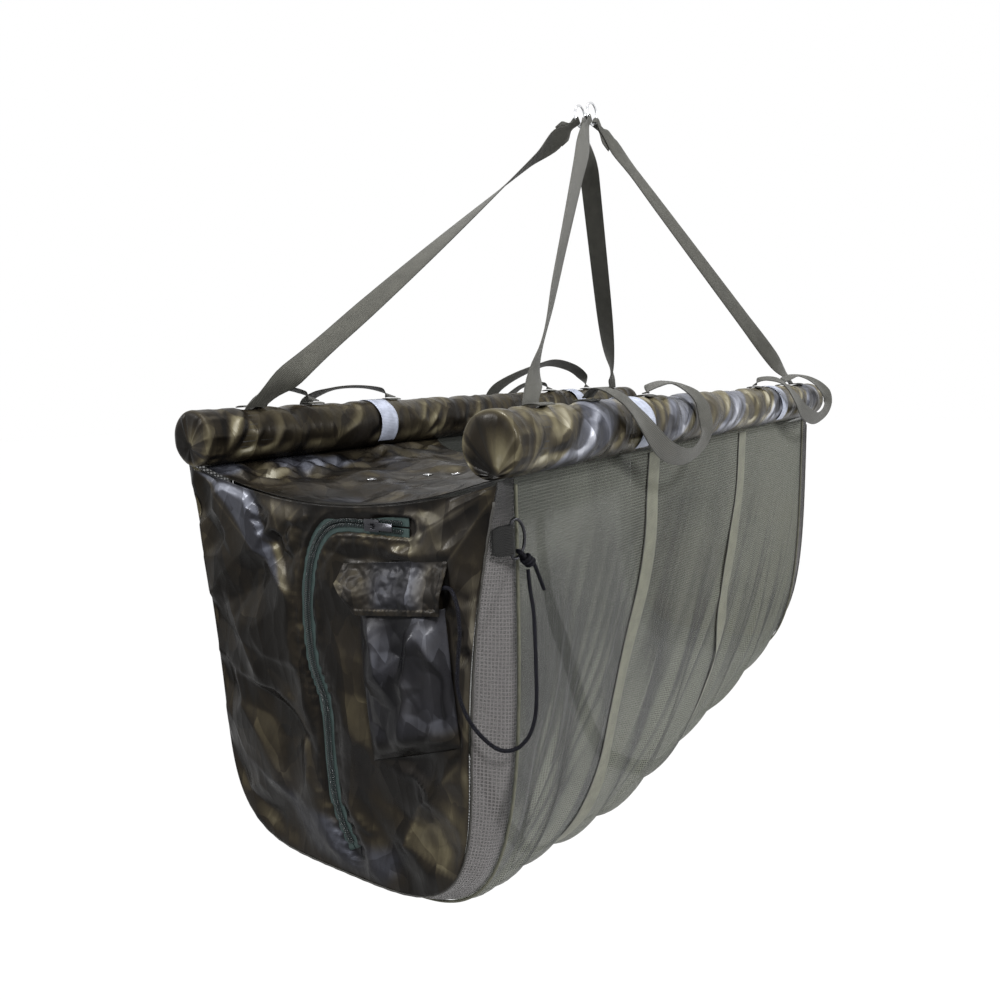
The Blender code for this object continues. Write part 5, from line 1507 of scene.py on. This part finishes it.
def end_panel(end):
    """A nylon end: ruled from its sagging top edge to the U of the gusset, then creased."""
    number = 0 if end == "near" else -1
    half = HALF_SPACING * WIDTH_SHARES[number]
    lean = HALF_SPACING * LEAN_SHARES[number]

    def place(across, down):
        y = between(lean - half, lean + half, across)
        top = Vector((0, y, ridge_z(y) if 0 < across < 1 else TOP_Z))
        foot = section_point(ENDS[end] * HALF_LENGTH, across)
        spot = top.lerp(Vector((0, foot.y, foot.z)), down)
        rim = edge_share(across) * 2 * half
        held = smooth(rim / 0.02) * smooth(down * 16) * smooth((1 - down) * 14)
        if end == "near":
            relief = panel_relief(spot.y, spot.z)
        else:
            relief = crumple(spot.y, spot.z, 8.0, (0.15, 0.08, 0.04), 0.05)
        return on_end(end, spot.y, spot.z, relief * held)

    def look(across, down, point, normal):
        # Painted light and shade: lighter where creases lean towards the light.
        tone = 0.08 + lean_tone(normal, X_AXIS * ENDS[end], END_LIGHT, 0.8)
        if end == "far":
            return tone + 0.3, 0.0
        cool = 0.12
        spot = Vector((point.y * 22, point.z * 22, 1.5))
        y = point.y + 0.009 * noise.noise(spot)
        z = point.z + 0.009 * noise.noise(spot + Vector((7, 3, 9)))
        # Facets painted lighter or darker as lit or shaded planes, and cooler in places.
        for corners, margin, lighter, cooler in PANEL_FACETS:
            share = in_patch(corners, y, z, margin)
            tone += lighter * share
            cool += cooler * share
        # A thin painted highlight along each raised fold and painted shade along each sunk one.
        for start, stop, _, lift in PANEL_FOLDS:
            edge = panel_fold(point.y, point.z, start, stop, 0.0035)
            tone += 0.2 * edge * (1 if lift > 0 else -1)
        # Painted highlights on the puckers beside the zip, painted shade along the top edge and in the
        # zip's valley.
        _, _, away = ZIP_TREE.find(Vector((0, point.y, point.z)))
        tone += 0.16 * hump(away, 0.0165, 0.005) * smooth(0.5 + 2 * noise.noise(point * 120))
        tone -= 0.08 * smooth(1 - down / 0.02)
        tone = min(tone, 0.9 - 0.28 * min(max(cool, 0.0), 1.0))
        return tone - 0.3 * smooth((WELT_PLACE - away) / 0.002), cool

    name = "zip_end_panel" if end == "near" else "far_end_panel"
    finish = nylon if end == "near" else far_net
    columns, rows = (200, 180) if end == "near" else (90, 80)
    size = (2 * half, BAG_DEPTH * DEPTH_SHARES[number])
    piece = cloth(
        f"{name}_cloth", columns, rows, place, finish, size, NYLON, inside_out=end == "far", look=look
    )
    settle(piece, "sling", "camo_nylon" if end == "near" else "brown_mesh", name)


def zip_half(name, sign):
    """One tape with its nylon coil, which meets the other coil below the slider."""
    frames = zip_frames(0.003)
    last = len(frames) - 1

    def place(across, down):
        _, point, _, side = frames[round(down * last)]
        spot = point + side * sign * (TAPE_PARTING * 0.4 + (TAPE_WIDTH - TAPE_PARTING) * across)
        return on_end("near", spot.y, spot.z, -TAPE_INSET - 0.0012)

    length = frames[-1][0]
    size = (TAPE_WIDTH, length)
    tape = cloth(f"{name}_weave", 8, last, place, zip_tape, size, TAPE * 0.8, inside_out=sign > 0)
    settle(tape, "sling", "zip_tape", name)
    points = []
    for number, (run, point, _, side) in enumerate(zip_frames(COIL_PITCH / COIL_STEPS)):
        if not COIL_PITCH * 3 < run < length - COIL_PITCH * 3:
            continue
        angle = 2 * math.pi * (number / COIL_STEPS + 0.25 * (1 + sign))
        meet = TAPE_PARTING if run < ZIP_PARTED else 0.0002
        middle = meet + COIL_WIDTH / 2
        spot = point + side * sign * (middle + COIL_WIDTH / 2 * math.cos(angle))
        lift = -TAPE_INSET + COIL_HEIGHT / 2 + COIL_HEIGHT / 2 * math.sin(angle)
        points.append(on_end("near", spot.y, spot.z, lift - 0.0006))
    coil = rope(f"{name}_coil", points, COIL_WIRE, coil_finish, around=5)
    settle(coil, "sling", "zip_tape")


def pocket():
    """A bellows pocket with soft creases, sewn down both sides and along its foot, open at the top."""

    def place(across, down):
        spot = quad_point(POCKET_CORNERS, across, down)
        full = (1 - (2 * across - 1) ** 6) * (1 - down**8)
        ripple = 1 + 0.1 * math.sin(3 * math.pi * across) * math.sin(2 * math.pi * down)
        lift = NYLON + SEAM_GAP * 2 + POCKET_BULGE * full * ripple * between(0.45, 1.0, smooth(down * 4))
        inner = smooth(edge_share(across) * 8) * smooth(down * 5) * smooth((1 - down) * 6)
        relief = crumple(spot.y * 1.7, spot.z * 0.8, 5.0, (0.085, 0.045), 0.06)
        return on_end("near", spot.y, spot.z, lift + max(relief * inner, -0.004))

    def look(across, down, point, normal):
        # Painted light: lighter where creases lean towards the light, with painted highlights in a tall
        # stripe, a slanted streak, a small patch high up and along its foot.
        tone = lean_tone(normal, -X_AXIS, POCKET_LIGHT, 0.8)
        tone += 0.22 * hump(across, 0.82, 0.14) * smooth(down * 3)
        slant = across + 0.2 * (down - 0.5)
        tone += 0.25 * hump(slant, 0.62, 0.12) * hump(down, 0.6, 0.35)
        tone += 0.22 * hump(across, 0.28, 0.07) * hump(down, 0.3, 0.25)
        tone += 0.2 * hump(down, 0.95, 0.06)
        return tone, 0.5 - 0.4 * smooth((down - 0.8) * 6)

    piece = cloth("pocket_nylon_cloth", 80, 92, place, nylon, POCKET_SIZE, NYLON, look=look)
    settle(piece, "sling", "camo_nylon", "pocket")


def pocket_flap():
    """The pocket's flap, pointed at one end, with a turned and stitched border."""

    def border(across, down):
        return min(across * 0.13, (1 - across) * 0.13, (1 - down) * FLAP_SIZE[1])

    def place(across, down):
        spot = quad_point(FLAP_CORNERS, across, down)
        point = FLAP_POINT * (1 - abs(2 * down - 0.86)) * smooth(1 - across * 6)
        lift = FLAP_STANDOFF + FLAP_LIFT * smooth(down * 1.4)
        rim = border(across, down)
        hem = 0.0009 * smooth((0.0065 - rim) / 0.0015) * smooth(down * 12)
        pucker = 0.0010 * noise.noise(Vector((spot.y * 160, spot.z * 160, 7.0))) * smooth(down * 6)
        soft = crumple(spot.y, spot.z, 9.0, (0.05, 0.026), 0.05) * smooth(down * 3) * smooth(rim / 0.012)
        return on_end("near", spot.y + point, spot.z, lift + max(hem + pucker + soft, -0.0012))

    def look(across, down, point, normal):
        rim = border(across, down)
        # Painted light: lighter where creases lean towards the light; the dashes are its dark stitches,
        # with a darker patch mid-way and a lighter one near its far end.
        tone = 0.15 + lean_tone(normal, -X_AXIS, FLAP_LIGHT, 0.6)
        dash = smooth(math.sin((point.y * 0.9 + point.z * 0.6) * 2 * math.pi / 0.0045) * 2)
        tone -= 0.3 * hump(rim, 0.0055, 0.0016) * dash
        tone -= 0.28 * hump(across, 0.58, 0.09) * hump(down, 0.35, 0.3)
        tone += 0.2 * hump(across, 0.82, 0.1) * hump(down, 0.2, 0.2)
        return tone, 0.2 + 0.3 * smooth((0.38 - abs(across - 0.5)) * 4) * smooth((rim - 0.006) / 0.002)

    piece = cloth("pocket_flap_cloth", 130, 56, place, flap_nylon, FLAP_SIZE, NYLON, look=look)
    settle(piece, "flap", "camo_nylon", "pocket_flap")


def ring_tab():
    """Doubled webbing sewn in at the corner, folded round the D-ring's bar."""
    bar = d_bar()
    radius = D_WIRE + RUNNING_GAP + WEBBING / 2
    root = bar + Vector(TAB_REACH)
    out = (bar - root).normalized()
    lift = Vector((out.y, -out.x, 0))
    layer = (WEBBING + RUNNING_GAP) / 2
    short = bar - out * EYE_LENGTH * 0.7
    points = [root.lerp(short, step / 5) + lift * layer for step in range(6)]
    points += half_turn(bar, lift, out, radius)
    points += [short.lerp(root, step / 5) - lift * layer for step in range(6)]
    narrow = D_WIDTH * (1 - 2 * D_CORNER_SHARE) - 2 * (D_WIRE + RUNNING_GAP)
    last = len(points) - 1
    widths = [between(TAB_WIDTH, narrow, smooth(min(i, last - i) / 3)) for i in range(last + 1)]
    piece = ribbon("ring_tab_webbing", points, [UP] * len(points), widths, WEBBING, tab_webbing)
    settle(piece, "sling", "webbing", "ring_tab")


def metalwork():
    """The rings, eyelets, slider and pull: the CAD shapes, rounded."""
    for side in SIDES:
        name = f"hang_ring_{side}"
        settle(refined(name, f"{name}_wire", chrome, 2), f"ring_{side}", "ring_chrome", name)
    for number in (1, 2, 3):
        name = f"hood_eyelet_{number}"
        settle(refined(name, f"{name}_metal", chrome, rounding=0.0002), "sling", "ring_chrome", name)
    settle(refined("d_ring", "d_ring_wire", dark_metal, 2), "tether_ring", "dark_metal", "d_ring")
    for name, body in (("zip_slider", "slider"), ("zip_pull", "pull")):
        settle(refined(name, f"{name}_metal", dark_metal, rounding=0.00035), body, "dark_metal", name)


for side in SIDES:
    sleeve(side)
    cores = nodes[f"float_core_{side}"].data.materials
    cores.clear()
    cores.append(foam)
    for end in ENDS:
        reflective_band(side, end)
        hanging_strap(side, end)
        handle_tacks(side, end)
        carry_handle(side, end)
bag()
for end, place_share in zip(ENDS, GIRTH_PLACE_SHARES):
    gusset(end)
    seam_piping(end)
    end_seam(end)
    girth_strap(end, place_share)
    end_panel(end)
    hood(end)
zip_half("zip_tape_left", 1)
zip_half("zip_tape_right", -1)
pocket()
pocket_flap()
ring_tab()
metalwork()


# Studio
def lamp(name, place, aim, size, power):
    light = bpy.data.lights.new(name, "AREA")
    light.energy = power
    light.size = size
    thing = linked(name, light)
    thing.location = place
    thing.rotation_euler = (Vector(aim) - Vector(place)).to_track_quat("-Z", "Y").to_euler()


def seen_rays(tree):
    """1 for rays that show the background: those of the camera, of reflections and through glass."""
    rays = add(tree, "ShaderNodeLightPath").outputs
    shown = sum_of(tree, "MAXIMUM", rays["Is Camera Ray"], rays["Is Glossy Ray"])
    return sum_of(tree, "MAXIMUM", shown, rays["Is Transmission Ray"])


def studio():
    """A white room: an even light, a pale floor that shows white, and the lamps."""
    world = bpy.data.worlds.new("studio")
    bpy.context.scene.world = world
    world.use_nodes = True
    tree = world.node_tree
    light = tree.nodes["Background"]
    light.inputs["Color"].default_value = (1.0, 1.0, 1.0, 1.0)
    level = sum_of(tree, "MULTIPLY_ADD", seen_rays(tree), 1.0 - WORLD_LEVEL, WORLD_LEVEL)
    tree.links.new(level, light.inputs["Strength"])
    bpy.ops.mesh.primitive_plane_add(size=FLOOR_SIZE, location=(0, 0, FLOOR_Z))
    floor = bpy.context.object
    floor.name = "studio_floor"
    finish, tree, shader = new_finish("pale_floor", 0.9)
    shader.inputs["Base Color"].default_value = (0.8, 0.8, 0.8, 1.0)
    glow = add(tree, "ShaderNodeEmission", {"Color": (1.0, 1.0, 1.0, 1.0), "Strength": FLOOR_GLOW})
    share = sum_of(tree, "MULTIPLY", seen_rays(tree), FLOOR_GLOW_SHARE)
    mixed = add(tree, "ShaderNodeMixShader", {0: share, 1: shader.outputs[0], 2: glow.outputs[0]})
    tree.links.new(mixed.outputs[0], tree.nodes["Material Output"].inputs["Surface"])
    floor.data.materials.append(finish)
    for settings in LAMPS:
        lamp(*settings)


studio()

scene = bpy.context.scene
scene.view_settings.view_transform = "Standard"
